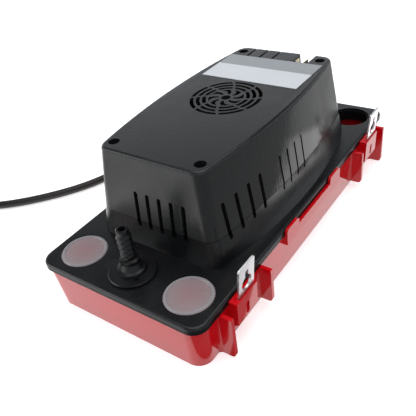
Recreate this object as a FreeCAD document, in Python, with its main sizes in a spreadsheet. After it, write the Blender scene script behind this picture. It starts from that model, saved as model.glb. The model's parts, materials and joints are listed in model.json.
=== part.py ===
# Low profile condensate pump: a shallow tank, a lid that carries the motor tower,
# a vertical motor with a pump under the lid, a float switch, and the inlet and outlet fittings.
# Frame: millimetres, +Z up, origin under the middle of the tank on the surface it stands on.
# Y runs along the tank with the outlet at -Y, and the hanging brackets are on the +X side.
import FreeCAD, Part
import Sketcher
import math
import os

Vector = FreeCAD.Vector
Rotation = FreeCAD.Rotation

doc = FreeCAD.newDocument("condensate_pump")
sheet = doc.addObject("Spreadsheet::Sheet", "Sizes")

SIZES = [
    ("tank_length", 277.6, "tank at its rim, along Y"),
    ("tank_width", 127.0, "tank at its rim, along X"),
    ("tank_rim", 34.2, "height of the tank's rim"),
    ("tank_draft", 2.0, "how far each wall leans in at the foot"),
    ("tank_corner", 10.0, "outer corner radius of tank and lid"),
    ("tank_wall", 2.4, "tank wall and floor"),
    ("lid_overhang", 1.2, "lid edge beyond the tank's rim"),
    ("deck_thick", 2.6, "flat deck of the lid"),
    ("skirt_drop", 5.0, "height of the lid's edge"),
    ("skirt_wall", 1.0, "thickness of the lid's edge"),
    ("lid_gap", 0.3, "air between lid and tank rim"),
    ("lid_edge_round", 1.8, "rounded upper edge of the lid"),
    ("deck_side", 3.5, "deck between the tower's foot and the tank's side"),
    ("deck_end", 43.2, "deck between the tower's foot and the tank's end"),
    ("flare_side", 4.6, "how far the flare stands out at the sides"),
    ("flare_end", 1.6, "how far the flare stands out at the ends"),
    ("wall_lean_side", 2.4, "lean of the lid's tower wall at the sides"),
    ("wall_lean_end", 1.2, "lean of the lid's tower wall at the ends"),
    ("cover_lean_side", 5.8, "lean of the cover at the sides"),
    ("cover_lean_end", 4.8, "lean of the cover at the ends"),
    ("tower_bow", 8.0, "how far the tower's long sides bow out"),
    ("tower_foot_bow", 14.0, "the same at the foot"),
    ("tower_corner", 8.5, "corner radius of the tower"),
    ("flare_height", 6.0, "height of the flare over the deck"),
    ("seam_height", 55.2, "top of the lid's wall under the cover"),
    ("seam_gap", 0.35, "shadow line between lid wall and cover"),
    ("tower_top", 101.0, "top face of the cover"),
    ("tower_wall", 2.3, "wall of cover and tower foot"),
    ("cover_round", 2.2, "rounded upper edge of the cover"),
    ("screw_inset_side", 13.8, "cover screws from the sides of the top face"),
    ("screw_inset_end", 9.4, "cover screws from the ends of the top face"),
    ("well_radius", 3.8, "open well over each cover screw"),
    ("well_depth", 16.0, "depth of the well"),
    ("boss_radius", 5.6, "screw boss of cover and lid"),
    ("screw_radius", 1.9, "cover screw shank"),
    ("screw_grip", 10.2, "depth of a cover screw in the lid's boss"),
    ("pilot_depth", 15.0, "depth of the pilot holes in the bosses"),
    ("pilot_play", 0.02, "pilot hole over the screw's radius"),
    ("screw_head", 3.4, "head radius of a cover screw"),
    ("head_height", 2.4, "head height of a cover screw"),
    ("screw_play", 0.3, "clearance round a screw in a plain hole"),
    ("slot_width", 3.0, "width of the side vents"),
    ("slot_foot", 50.6, "lower end of the vents"),
    ("slot_head", 76.4, "upper end of the vents"),
    ("end_slot_count", 5.0, "vents in the front wall"),
    ("end_slot_first", -12.0, "first front vent, along X"),
    ("end_slot_pitch", 9.3, "pitch of the front vents"),
    ("side_slot_rear", -41.5, "rearmost vent in the front part of a side, along Y"),
    ("side_slot_margin", 10.5, "plain wall in front of the side vents"),
    ("side_slot_pitch", 12.0, "pitch of the side vents"),
    ("mid_slot_count", 4.0, "narrow vents beside the motor"),
    ("mid_slot_first", -18.0, "first narrow vent, along Y"),
    ("mid_slot_pitch", 10.0, "pitch of the narrow vents"),
    ("mid_slot_width", 1.8, "width of the narrow vents"),
    ("grille_radius", 25.3, "outer radius of the fan grille"),
    ("grille_rings", 3.0, "rings of arc slots in the grille"),
    ("grille_slot", 2.6, "radial width of an arc slot"),
    ("grille_rib", 1.7, "ring left between two arc slots"),
    ("grille_spokes", 8.0, "spokes of the grille"),
    ("spoke_width", 1.9, "width of a spoke"),
    ("spoke_sweep", 20.0, "degrees that a spoke sweeps"),
    ("hub_hole", 3.3, "hole in the middle of the grille"),
    ("hub_ring", 2.0, "ring round the middle hole"),
    ("inlet_inset_side", 20.5, "inlet axes from the tank's sides"),
    ("inlet_inset_end", 20.6, "inlet axes from the tank's ends"),
    ("inlet_seat", 15.7, "radius of the seat of an inlet cap"),
    ("inlet_bore", 14.4, "bore of an inlet"),
    ("inlet_collar", 8.0, "collar of an inlet under the deck"),
    ("seat_depth", 1.8, "depth of the cap's seat"),
    ("cap_play", 0.2, "clearance round an inlet cap"),
    ("cap_thick", 2.1, "disc of an inlet cap"),
    ("cap_skirt", 4.5, "plug of an inlet cap"),
    ("cap_wall", 1.3, "wall of the cap's plug"),
    ("outlet_inset", 20.4, "outlet axis from the tank's front end"),
    ("outlet_disc", 15.6, "base disc of the outlet fitting"),
    ("outlet_neck", 7.9, "neck of the outlet fitting in the deck"),
    ("outlet_play", 0.3, "clearance round the neck"),
    ("barb_radius", 4.8, "crest radius of the hose barbs"),
    ("barb_root", 3.9, "root radius between the barbs"),
    ("barb_count", 5.0, "hose barbs"),
    ("barb_pitch", 3.7, "pitch of the hose barbs"),
    ("barb_foot", 49.5, "height where the barbs start"),
    ("outlet_bore", 2.4, "bore of the outlet fitting"),
    ("ball_radius", 4.6, "check valve ball"),
    ("valve_seat", 3.4, "hole that the ball closes"),
    ("valve_seat_height", 17.0, "height of the ball's seat"),
    ("valve_radius", 9.8, "outer radius of the valve body"),
    ("valve_foot", 4.6, "foot of the valve body"),
    ("pump_line", 10.6, "height of the pump outlet's axis"),
    ("valve_skin", 2.0, "floor of the valve body"),
    ("valve_throat", 1.5, "valve bore above the foot, less than the ball's chamber"),
    ("valve_socket", 5.0, "depth of the fitting's socket in the valve body"),
    ("spigot_radius", 4.7, "spigots that take the discharge tube"),
    ("spigot_length", 11.0, "spigot of the valve body"),
    ("valve_bore", 3.3, "bore of the valve body's spigot"),
    ("pump_bore", 3.2, "bore of the pump's spigot"),
    ("nozzle_length", 13.0, "spigot of the pump housing"),
    ("tube_radius", 6.2, "discharge tube, outside"),
    ("tube_bore", 4.75, "discharge tube, bore"),
    ("tube_gap", 1.0, "discharge tube from the valve body"),
    ("neck_drop", 4.6, "neck of the outlet fitting below the deck"),
    ("groove_depth", 1.3, "groove of the ring seal"),
    ("groove_width", 2.2, "groove of the ring seal"),
    ("groove_drop", 0.4, "groove below the underside of the deck"),
    ("seal_wire", 0.76, "ring seal, half its thickness"),
    ("fitting_play", 0.3, "air under the fitting's base disc"),
    ("collar_radius", 9.6, "foot of the fitting's collar"),
    ("collar_top", 5.2, "collar above the deck"),
    ("stem_radius", 5.8, "stem below the hose stop"),
    ("stop_radius", 6.2, "hose stop under the barbs"),
    ("station_inset", 41.0, "middle of a hanging station from the tank's end"),
    ("pocket_front", 12.6, "front end of a bracket pocket from the middle of its station"),
    ("pocket_rear", 9.6, "rear end of a bracket pocket from the middle of its station"),
    ("pocket_skin", 2.0, "outer face of a pocket beyond the middle of the bracket"),
    ("pocket_draft", 0.6, "how far the pocket's face leans in at its foot"),
    ("pocket_top", 34.6, "top of a pocket"),
    ("pocket_foot", 17.4, "lower edge of a pocket's face"),
    ("pocket_slope", 5.6, "fall of the pocket's underside towards the wall"),
    ("bracket_thick", 1.2, "hanging bracket sheet"),
    ("bracket_width", 16.6, "hanging bracket, along Y"),
    ("bracket_rise", 22.2, "hanging bracket over its pocket"),
    ("bracket_root", 6.0, "hanging bracket inside its pocket"),
    ("bracket_lean", 5.5, "degrees that the bracket leans out"),
    ("bracket_play", 0.25, "clearance round a bracket"),
    ("bracket_stand", 5.4, "middle of the bracket sheet beyond the tank's rim"),
    ("bracket_corner", 1.2, "corner radius of a bracket"),
    ("keyhole_radius", 5.1, "round part of the keyhole"),
    ("keyhole_slot", 1.7, "half width of the keyhole's neck"),
    ("keyhole_rise", 7.6, "centre of the round part over the pocket"),
    ("keyhole_neck", 15.6, "centre of the neck's upper end over the pocket"),
    ("window_width", 3.4, "window in a pocket's face"),
    ("window_margin", 1.2, "face left under the window"),
    ("window_height", 9.4, "height of the window"),
    ("window_depth", 1.6, "depth of the window"),
    ("fin_proud", 9.1, "outer edge of the wall fins beyond the tank's rim"),
    ("fin_thick", 2.6, "wall fin thickness"),
    ("fin_fillet", 3.6, "fillet between a fin and the wall"),
    ("fin_corner", 3.0, "rounded lower corner of a fin"),
    ("fin_outer", 20.9, "end fins from the middle of a station"),
    ("fin_inner", 24.2, "inner fins from the middle of a station"),
    ("fin_short", 5.0, "how much shorter the inner fins are"),
    ("latch_along", 33.5, "snap tabs from the centre, along Y"),
    ("latch_width", 17.0, "snap tab, along Y"),
    ("latch_root", 7.0, "height of the snap tab's root on the wall"),
    ("latch_corner", 3.0, "rounded corner of a snap tab"),
    ("lip_top", 31.2, "top of the rim lip between the snap tabs"),
    ("latch_thick", 1.9, "snap tab thickness"),
    ("latch_top", 37.2, "top of the snap tabs"),
    ("shaft_radius", 2.5, "motor shaft"),
    ("bearing_play", 0.05, "running clearance of the shaft"),
    ("fan_air", 2.2, "air between the fan and the cover"),
    ("fan_gap", 1.0, "air between the fan and the bearing hub"),
    ("bar_stand", 4.0, "feet between a bearing bar and the stack"),
    ("bar_width", 14.0, "width of a bearing bar"),
    ("bar_end", 6.0, "bearing bar beyond its bolt"),
    ("bar_foot", 4.5, "radius of a bearing bar's foot"),
    ("hub_over", 1.5, "hub of a bearing bar beyond the bar"),
    ("hub_air", 1.6, "air between a hub and the stack"),
    ("stack_height", 19.0, "stator stack height"),
    ("stack_corner", 3.0, "corner radius of the stack"),
    ("stack_half", 30.0, "half width of the stack"),
    ("stack_front", -25.0, "front edge of the stack, along Y"),
    ("stack_rear", 38.0, "rear edge of the stack, along Y"),
    ("stack_leg", 10.0, "leg of the stack inside the coil"),
    ("bore_radius", 14.0, "bore of the stack"),
    ("air_gap", 0.4, "air between rotor and stack"),
    ("coil_half", 13.5, "half length of the coil, along X"),
    ("coil_build", 6.5, "thickness of the winding"),
    ("coil_play", 0.3, "clearance of the winding round the leg"),
    ("motor_bolt", 24.0, "motor bolts from the shaft"),
    ("motor_bolt_radius", 1.9, "motor bolt shank"),
    ("bracket_bar", 2.0, "motor bearing bar thickness"),
    ("bearing_hub", 6.5, "hub radius of the bearing bars"),
    ("fan_radius", 23.0, "cooling fan"),
    ("fan_blades", 7.0, "blades of the cooling fan"),
    ("fan_height", 7.0, "height of the fan blades"),
    ("fan_hub", 6.5, "hub radius of the fan"),
    ("fan_disc", 17.0, "disc radius of the fan"),
    ("impeller_radius", 15.0, "pump impeller"),
    ("impeller_vanes", 6.0, "vanes of the impeller"),
    ("impeller_low", 7.6, "underside of the impeller"),
    ("impeller_height", 5.0, "height of the impeller"),
    ("volute_radius", 17.6, "inner radius of the pump chamber"),
    ("pump_wall", 2.0, "wall of the pump housing"),
    ("strainer_gap", 1.2, "air under the strainer"),
    ("strainer_hole", 6.0, "middle hole of the strainer"),
    ("strainer_inner", 9.0, "inner end of the strainer's slots"),
    ("strainer_outer", 15.5, "outer end of the strainer's slots"),
    ("strainer_slots", 8, "slots of the strainer"),
    ("impeller_plate", 1.3, "thickness of the impeller's disc"),
    ("impeller_boss", 4.4, "hub of the impeller"),
    ("column_foot", 13.0, "flange of the pump column under the deck"),
    ("column_radius", 5.2, "bore of the pump column"),
    ("float_length", 40.0, "float, along Y"),
    ("float_width", 50.0, "float, along X"),
    ("float_height", 15.0, "float height"),
    ("float_low", 5.5, "underside of the float at rest"),
    ("float_ahead", 10.0, "front face of the float behind the switch rod"),
    ("arm_lever", 12.0, "switch rod from the float arm's pivot"),
    ("arm_land", 14.0, "length of the arm's land on the float"),
    ("arm_boss", 1.8, "arm's material round its pin"),
    ("pivot_height", 28.0, "float arm pivot height"),
    ("pivot_pin", 1.5, "float pivot pin"),
    ("arm_width", 9.0, "width of the float arm"),
    ("ear_wall", 3.0, "thickness of the ears that hold the pin"),
    ("ear_play", 0.4, "clearance between arm and ear"),
    ("ear_radius", 4.0, "radius of an ear"),
    ("rod_inset", 16.8, "switch rod in front of the cover's rear end"),
    ("rod_radius", 1.6, "switch rod"),
    ("rod_play", 0.3, "clearance over and under the switch rod"),
    ("lever_arm", 12.0, "switch rod from the switch lever's pivot"),
    ("lever_past", 8.0, "switch lever beyond the rod"),
    ("lever_width", 6.0, "width of the switch lever"),
    ("lever_thick", 0.8, "thickness of the switch lever"),
    ("lever_height", 57.6, "underside of the switch lever"),
    ("lever_hub", 1.6, "hub radius of the switch lever"),
    ("lever_pin", 0.7, "pin radius of the switch lever"),
    ("lever_play", 0.4, "clearance between lever and switch ears"),
    ("switch_low", 64.0, "underside of the float switch"),
    ("switch_length", 28.0, "float switch case, along X"),
    ("switch_width", 10.4, "float switch case, along Y"),
    ("switch_height", 15.0, "float switch case height"),
    ("switch_margin", 4.0, "float switch case beyond the lever's pivot"),
    ("switch_ear", 1.6, "ears of the float switch"),
    ("switch_post", 3.4, "post that carries the float switch"),
    ("notch_middle", 19.55, "middle of the terminal notch, along X"),
    ("notch_width", 14.1, "terminal notch of the cover"),
    ("notch_length", 17.0, "terminal notch, from the end of the top face"),
    ("notch_depth", 14.0, "depth of the terminal notch"),
    ("slit_width", 1.8, "slits behind the label"),
    ("slit_depth", 9.0, "depth of the slits"),
    ("slit_pitch", 11.0, "pitch of the slits"),
    ("slit_first", -25.5, "first slit, along X"),
    ("safety_inset", 8.8, "safety switch in front of the cover's rear end"),
    ("safety_length", 16.0, "safety switch case, along Y"),
    ("safety_width", 11.0, "safety switch case, along X"),
    ("safety_drop", 17.0, "top of the safety switch under the cover's top"),
    ("terminal_width", 6.3, "spade terminal"),
    ("terminal_thick", 0.8, "spade terminal sheet"),
    ("terminal_height", 16.6, "spade terminal over the switch"),
    ("terminal_pitch", 7.2, "distance between the spade terminals"),
    ("label_gap", 2.5, "label behind the grille"),
    ("label_inset_end", 18.0, "label from the end of the top face"),
    ("label_inset_side", 7.8, "label from the sides of the top face"),
    ("label_thick", 0.3, "label thickness"),
    ("cord_radius", 3.4, "supply cord"),
    ("cord_play", 0.05, "clearance round the cord"),
    ("cord_across", -18.0, "cord outlet, along X"),
    ("cord_height", 46.5, "cord outlet height"),
    ("relief_radius", 6.0, "neck radius of the strain relief"),
    ("relief_flange", 8.2, "flange radius of the strain relief"),
    ("relief_play", 0.2, "clearance of the strain relief in the wall"),
    ("relief_length", 20.0, "tail of the strain relief outside the wall"),
    ("coil_mean", 37.0, "mean radius of the put-away cord coil"),
    ("coil_across", 11.0, "half width of the coil's bundle"),
    ("coil_low", 1.0, "underside of the coil's bundle"),
    ("coil_high", 14.6, "top of the coil's bundle"),
    ("tie_play", 0.3, "clearance of the tie round the bundle"),
    ("tie_thick", 0.8, "thickness of the tie"),
    ("tie_width", 6.0, "width of the tie"),
    ("plug_neck", 19.0, "neck of the plug"),
    ("plug_grip", 24.0, "grip of the plug"),
    ("plug_half_width", 12.5, "half width of the plug's grip"),
    ("plug_half_height", 9.5, "half height of the plug's grip"),
    ("blade_pitch", 12.7, "distance between the flat pins"),
    ("blade_width", 6.4, "flat pin width"),
    ("blade_thick", 1.5, "flat pin thickness"),
    ("blade_length", 16.0, "flat pin length"),
    ("ground_radius", 2.4, "round pin"),
    ("ground_length", 19.0, "round pin length"),
]

# Places that follow from the sizes above
DERIVED = [
    ("tower_foot_half", "tank_width / 2 - deck_side", "half width of the tower's flared foot"),
    ("tower_neck_half", "tower_foot_half - flare_side", "half width just above the flare"),
    ("tower_seam_half", "tower_neck_half - wall_lean_side", "half width where the cover starts"),
    ("tower_top_half", "tower_seam_half - cover_lean_side", "half width of the top face"),
    ("tower_foot_end", "tank_length / 2 - deck_end", "half length at the foot"),
    ("tower_neck_end", "tower_foot_end - flare_end", "half length just above the flare"),
    ("tower_seam_end", "tower_neck_end - wall_lean_end", "half length where the cover starts"),
    ("tower_top_end", "tower_seam_end - cover_lean_end", "half length of the top face"),
    ("screw_across", "tower_top_half - screw_inset_side", "cover screws from the centre, along X"),
    ("screw_along", "tower_top_end - screw_inset_end", "cover screws from the centre, along Y"),
    ("screw_length", "tower_top - well_depth - seam_height + screw_grip", "cover screw shank length"),
    ("inlet_across", "tank_width / 2 - inlet_inset_side", "inlet axes from the centre, along X"),
    ("inlet_along", "tank_length / 2 - inlet_inset_end", "inlet axes from the centre, along Y"),
    ("outlet_along", "outlet_inset - tank_length / 2", "outlet axis, along Y"),
    ("station_along", "tank_length / 2 - station_inset", "hanging stations from the centre, along Y"),
    ("bracket_place", "tank_width / 2 + bracket_stand", "middle of the bracket sheet at the pocket's top"),
    ("pocket_face", "bracket_place + pocket_skin", "outer face of a pocket, along X"),
    ("fin_reach", "tank_width / 2 + fin_proud", "outer edge of the wall fins, along X"),
    ("fan_low", "tower_top - tower_wall - fan_air - fan_height", "underside of the fan"),
    ("stack_high", "fan_low - fan_gap - hub_over - bracket_bar - bar_stand", "top of the stator stack"),
    ("stack_low", "stack_high - stack_height", "underside of the stator stack"),
    ("post_top", "stack_low - bar_stand - bracket_bar", "top of the lid's motor posts"),
    ("rod_along", "tower_seam_end - rod_inset", "switch rod, along Y"),
    ("pivot_along", "rod_along - arm_lever", "float arm pivot, along Y"),
    ("float_front", "rod_along + float_ahead", "front face of the float"),
    ("notch_from", "notch_middle - notch_width / 2", "terminal notch, from"),
    ("notch_to", "notch_middle + notch_width / 2", "terminal notch, to"),
    ("notch_front", "tower_top_end - notch_length", "front of the terminal notch"),
    ("label_front", "grille_radius + label_gap", "label, front edge along Y"),
    ("label_rear", "tower_top_end - label_inset_end", "label, rear edge along Y"),
    ("label_half", "tower_top_half - label_inset_side", "half width of the label"),
    ("safety_rear", "tower_seam_end - safety_inset", "rear face of the safety switch"),
]

for row, (alias, number, meaning) in enumerate(SIZES, start=1):
    sheet.set(f"A{row}", alias)
    sheet.set(f"B{row}", str(number))
    sheet.set(f"C{row}", meaning)
    sheet.setAlias(f"B{row}", alias)
for row, (alias, formula, meaning) in enumerate(DERIVED, start=len(SIZES) + 1):
    sheet.set(f"A{row}", alias)
    sheet.set(f"B{row}", f"={formula}")
    sheet.set(f"C{row}", meaning)
    sheet.setAlias(f"B{row}", alias)
    doc.recompute()
doc.recompute()


def size(alias):
    return float(sheet.get(alias))


def value(expression):
    return float(sheet.evalExpression(expression))


# Derived places, written as expressions of the sheet so that they follow it
DECK_TOP = "(Sizes.tank_rim + Sizes.lid_gap + Sizes.deck_thick)"
DECK_LOW = "(Sizes.tank_rim + Sizes.lid_gap)"
COVER_LOW = "(Sizes.seam_height + Sizes.seam_gap)"
deck_top = value(DECK_TOP)
deck_low = value(DECK_LOW)
cover_low = value(COVER_LOW)

nodes = {}


def body(label):
    made = doc.addObject("PartDesign::Body", label)
    made.Label = label
    nodes[label] = made
    return made


def sketch(owner, name, role="XY_Plane", offset="0"):
    made = owner.newObject("Sketcher::SketchObject", name)
    for item in owner.Origin.OriginFeatures:
        if item.Role == role:
            made.AttachmentSupport = [(item, "")]
    made.MapMode = "FlatFace"
    made.setExpression("AttachmentOffset.Base.z", offset)
    return made


def bind(made, constraint, expression):
    index = made.addConstraint(constraint)
    made.setExpression(f"Constraints[{index}]", expression)


def place_point(made, geometry, point, x, y):
    for kind, expression, axis in (("DistanceX", x, -2), ("DistanceY", y, -1)):
        if abs(value(expression)) < 1e-9:
            made.addConstraint(Sketcher.Constraint("PointOnObject", geometry, point, axis))
        else:
            limit = Sketcher.Constraint(kind, -1, 1, geometry, point, value(expression))
            bind(made, limit, expression)


def circle(made, radius, x="0", y="0"):
    centre = Vector(value(x), value(y), 0)
    index = made.addGeometry(Part.Circle(centre, Vector(0, 0, 1), value(radius)), False)
    bind(made, Sketcher.Constraint("Radius", index, value(radius)), radius)
    place_point(made, index, 3, x, y)


def rectangle(made, x_low, y_low, x_high, y_high):
    xs, ys = (value(x_low), value(x_high)), (value(y_low), value(y_high))
    places = ((xs[0], ys[0]), (xs[1], ys[0]), (xs[1], ys[1]), (xs[0], ys[1]))
    corners = [Vector(x, y, 0) for x, y in places]
    first = made.GeometryCount
    for start, end in zip(corners, corners[1:] + corners[:1]):
        made.addGeometry(Part.LineSegment(start, end), False)
    for step in range(4):
        other = first + (step + 1) % 4
        made.addConstraint(Sketcher.Constraint("Coincident", first + step, 2, other, 1))
        direction = "Horizontal" if step % 2 == 0 else "Vertical"
        made.addConstraint(Sketcher.Constraint(direction, first + step))
    place_point(made, first, 1, x_low, y_low)
    place_point(made, first + 1, 2, x_high, y_high)


def outline(made, points):
    """Closed straight-sided outline through points worked out from the sheet."""
    first = made.GeometryCount
    corners = [Vector(x, y, 0) for x, y in points]
    for start, end in zip(corners, corners[1:] + corners[:1]):
        made.addGeometry(Part.LineSegment(start, end), False)
    count = len(corners)
    for step in range(count):
        other = first + (step + 1) % count
        made.addConstraint(Sketcher.Constraint("Coincident", first + step, 2, other, 1))


def edges(made, shapes):
    """Closed outline of ready lines and arcs, each joined to the next where their ends meet."""
    first = made.GeometryCount
    for shape in shapes:
        made.addGeometry(shape, False)
    count = len(shapes)
    for step in range(count):
        here, other = first + step, first + (step + 1) % count
        gaps = []
        for mine in (1, 2):
            for theirs in (1, 2):
                gap = made.getPoint(here, mine).distanceToPoint(made.getPoint(other, theirs))
                gaps.append((gap, mine, theirs))
        _, mine, theirs = min(gaps)
        made.addConstraint(Sketcher.Constraint("Coincident", here, mine, other, theirs))


def arc_through(start, middle, end):
    return Part.Arc(Vector(*start, 0), Vector(*middle, 0), Vector(*end, 0))


def line(start, end):
    return Part.LineSegment(Vector(*start, 0), Vector(*end, 0))


def polar(radius, degrees, centre=(0.0, 0.0)):
    angle = math.radians(degrees)
    return (centre[0] + radius * math.cos(angle), centre[1] + radius * math.sin(angle))


def round_box(made, half_x, half_y, corner, x=0.0, y=0.0):
    """Rounded rectangle about a point, as four lines and four arcs."""
    shapes = []
    centres = [(1, 1, 0), (-1, 1, 90), (-1, -1, 180), (1, -1, 270)]
    for sign_x, sign_y, turn in centres:
        middle = (x + sign_x * (half_x - corner), y + sign_y * (half_y - corner))
        shapes.append([polar(corner, turn + step, middle) for step in (0, 45, 90)])
    made_edges = []
    for step, arc in enumerate(shapes):
        made_edges.append(arc_through(*arc))
        made_edges.append(line(arc[2], shapes[(step + 1) % 4][0]))
    edges(made, made_edges)


def barrel(made, half_x, half_y, bow, corner):
    """Rounded rectangle whose long sides are arcs that bow out in the middle."""
    radius = (half_y ** 2 + bow ** 2) / (2 * bow)
    centre_x = half_x - radius
    corner_y = half_y - corner
    corner_x = centre_x + math.sqrt((radius - corner) ** 2 - corner_y ** 2)
    lean = math.degrees(math.atan2(corner_y, corner_x - centre_x))
    start = (centre_x + radius * math.cos(math.radians(lean)), radius * math.sin(math.radians(lean)))
    half_turn = (lean + 90) / 2
    corner_arc = [start, polar(corner, half_turn, (corner_x, corner_y)), (corner_x, half_y)]
    right = [arc_through((start[0], -start[1]), (half_x, 0.0), start), arc_through(*corner_arc)]
    top = [line(corner_arc[2], (-corner_x, half_y))]
    mirrored = [(-px, py) for px, py in reversed(corner_arc)]
    left_side = arc_through((-start[0], start[1]), (-half_x, 0.0), (-start[0], -start[1]))
    left = [arc_through(*mirrored), left_side]
    lower = [(-px, -py) for px, py in corner_arc]
    bottom = [arc_through(*lower), line((-corner_x, -half_y), (corner_x, -half_y))]
    last = [arc_through(*[(px, -py) for px, py in reversed(corner_arc)])]
    edges(made, right + top + left + bottom + last)


def slot(made, x, low, high, width):
    """Upright slot with round ends in a sketch whose second axis is Z."""
    half = width / 2
    edges(made, [
        line((x + half, low + half), (x + half, high - half)),
        arc_through((x + half, high - half), (x, high), (x - half, high - half)),
        line((x - half, high - half), (x - half, low + half)),
        arc_through((x - half, low + half), (x, low), (x + half, low + half)),
    ])


def pad(owner, made, length, reverse=False, name="Pad"):
    feature = owner.newObject("PartDesign::Pad", f"{owner.Name}_{name}")
    feature.Profile = made
    feature.setExpression("Length", length)
    feature.Reversed = reverse
    return feature


def pocket(owner, made, length, reverse=False, name="Pocket"):
    feature = owner.newObject("PartDesign::Pocket", f"{owner.Name}_{name}")
    feature.Profile = made
    feature.setExpression("Length", length)
    feature.Reversed = reverse
    return feature


def loft(owner, kind, sections, ruled=True):
    feature = owner.newObject(f"PartDesign::{kind}", f"{owner.Name}_{kind}")
    feature.Profile = sections[0]
    feature.Sections = sections[1:]
    feature.Ruled = ruled
    return feature


def revolve(owner, points, name="Profile", kind="Revolution"):
    made = sketch(owner, f"{owner.Name}_{name}", "XZ_Plane")
    outline(made, points)
    feature = owner.newObject(f"PartDesign::{kind}", f"{owner.Name}_{kind}_{name}")
    feature.Profile = made
    feature.ReferenceAxis = (made, ["V_Axis"])
    feature.Angle = 360
    return feature


def polar_pattern(owner, feature, count):
    made = owner.newObject("PartDesign::PolarPattern", f"{owner.Name}_Pattern")
    for item in owner.Origin.OriginFeatures:
        if item.Role == "Z_Axis":
            made.Axis = (item, [""])
    made.Originals = [feature]
    made.Angle = 360
    made.Occurrences = count
    owner.Tip = made
    return made


def round_edges(owner, base, radius, wanted, name="Round"):
    doc.recompute()
    names = [f"Edge{i}" for i, edge in enumerate(base.Shape.Edges, start=1) if wanted(edge)]
    feature = owner.newObject("PartDesign::Fillet", f"{owner.Name}_{name}")
    feature.Base = (base, names)
    feature.Radius = radius
    owner.Tip = feature
    return feature


def at_height(height):
    def wanted(edge):
        return all(abs(vertex.Z - height) < 1e-4 for vertex in edge.Vertexes)
    return wanted


def feature_node(label, shape, placement=None):
    """A node whose form neither a body nor a primitive makes simply."""
    made = doc.addObject("Part::Feature", label)
    made.Label = label
    made.Shape = shape
    if placement is not None:
        made.Placement = placement
    nodes[label] = made
    return made


# Tank: drafted tray with wall fins, bracket pockets and snap tabs
tank = body("tank")
half_width = size("tank_width") / 2
half_length = size("tank_length") / 2
draft = size("tank_draft")
wall = size("tank_wall")
foot = sketch(tank, "tank_foot")
round_box(foot, half_width - draft, half_length - draft, size("tank_corner"))
rim = sketch(tank, "tank_rim_outline", offset="Sizes.tank_rim")
round_box(rim, half_width, half_length, size("tank_corner"))
loft(tank, "AdditiveLoft", [foot, rim])

fin_root = half_width - draft - 0.5
skirt_low = deck_top - size("skirt_drop")
fin_top = skirt_low - size("lid_gap")
station = size("station_along")
FINS = [
    (-station - size("fin_outer"), 0.0),
    (-station + size("fin_inner"), size("fin_short")),
    (station - size("fin_inner"), size("fin_short")),
    (station + size("fin_outer"), 0.0),
]
fin_half, fillet = size("fin_thick") / 2, size("fin_fillet")
for number, (along, low) in enumerate(FINS, start=1):
    face = sketch(tank, f"tank_fin{number}_face", "XZ_Plane", offset=f"{-(along + fin_half)}")
    reach, corner = size("fin_reach"), size("fin_corner")
    turn = [(reach - corner, low), polar(corner, -45, (reach - corner, low + corner)), (reach, low + corner)]
    edges(face, [
        line((fin_root, low), turn[0]),
        arc_through(*turn),
        line(turn[2], (reach, fin_top)),
        line((reach, fin_top), (fin_root, fin_top)),
        line((fin_root, fin_top), (fin_root, low)),
    ])
    pad(tank, face, "Sizes.fin_thick", name=f"Fin{number}")
    root = sketch(tank, f"tank_fin{number}_root", offset=f"{low}")
    bend = fillet * (1 - math.sqrt(0.5))
    wide, sweep, end_x = fin_half + fillet, fin_half + bend, fin_root + fillet
    edges(root, [
        arc_through((fin_root, along - wide), (fin_root + bend, along - sweep), (end_x, along - fin_half)),
        line((end_x, along - fin_half), (end_x, along + fin_half)),
        arc_through((end_x, along + fin_half), (fin_root + bend, along + sweep), (fin_root, along + wide)),
        line((fin_root, along + wide), (fin_root, along - wide)),
    ])
    pad(tank, root, f"{fin_top - low}", name=f"FinRoot{number}")

lip_root = half_width + size("lid_overhang") + size("lid_gap")
face_x, foot_x = size("pocket_face"), size("pocket_face") - size("pocket_draft")
pocket_profile = [
    (fin_root, size("pocket_foot") - size("pocket_slope")), (foot_x, size("pocket_foot")),
    (face_x, size("pocket_top")), (lip_root, size("pocket_top")), (lip_root, fin_top), (fin_root, fin_top)]
for number, side in enumerate((-1, 1), start=1):
    rear = side * station + size("pocket_rear")
    block = sketch(tank, f"tank_pocket{number}_face", "XZ_Plane", offset=f"{-rear}")
    outline(block, pocket_profile)
    pad(tank, block, "Sizes.pocket_front + Sizes.pocket_rear", name=f"Pocket{number}")

latch_face = lip_root + size("latch_thick")
latch_foot = fin_top - size("latch_root")
latch_half, latch_top = size("latch_width") / 2, size("latch_top")
for number, side in enumerate((-1, 1), start=1):
    middle = side * size("latch_along")
    near, far = middle - latch_half, middle + latch_half
    low_plan = sketch(tank, f"tank_latch{number}_root", offset=f"{latch_foot}")
    outline(low_plan, [(fin_root, near), (latch_face, near), (latch_face, far), (fin_root, far)])
    pad(tank, low_plan, "Sizes.latch_root", name=f"LatchRoot{number}")
    tab = sketch(tank, f"tank_latch{number}_face", "YZ_Plane", offset=f"{latch_face}")
    low, corner = fin_top - 2.0, size("latch_corner")
    level = latch_top - corner
    edges(tab, [
        line((near, low), (far, low)),
        line((far, low), (far, level)),
        arc_through((far, level), polar(corner, 45, (far - corner, level)), (far - corner, latch_top)),
        line((far - corner, latch_top), (near + corner, latch_top)),
        arc_through((near + corner, latch_top), polar(corner, 135, (near + corner, level)), (near, level)),
        line((near, level), (near, low)),
    ])
    pad(tank, tab, "Sizes.latch_thick", reverse=True, name=f"Latch{number}")
inner_edge = size("latch_along") - latch_half + 1.0
lip_foot = sketch(tank, "tank_lip_foot_plan", offset=f"{latch_foot}")
lip_outer = [(latch_face, -inner_edge), (latch_face, inner_edge)]
outline(lip_foot, [(lip_root, -inner_edge), *lip_outer, (lip_root, inner_edge)])
pad(tank, lip_foot, f"Sizes.lip_top - {latch_foot}", name="LipFoot")
lip_join = sketch(tank, "tank_lip_join_plan", offset=f"{latch_foot}")
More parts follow.
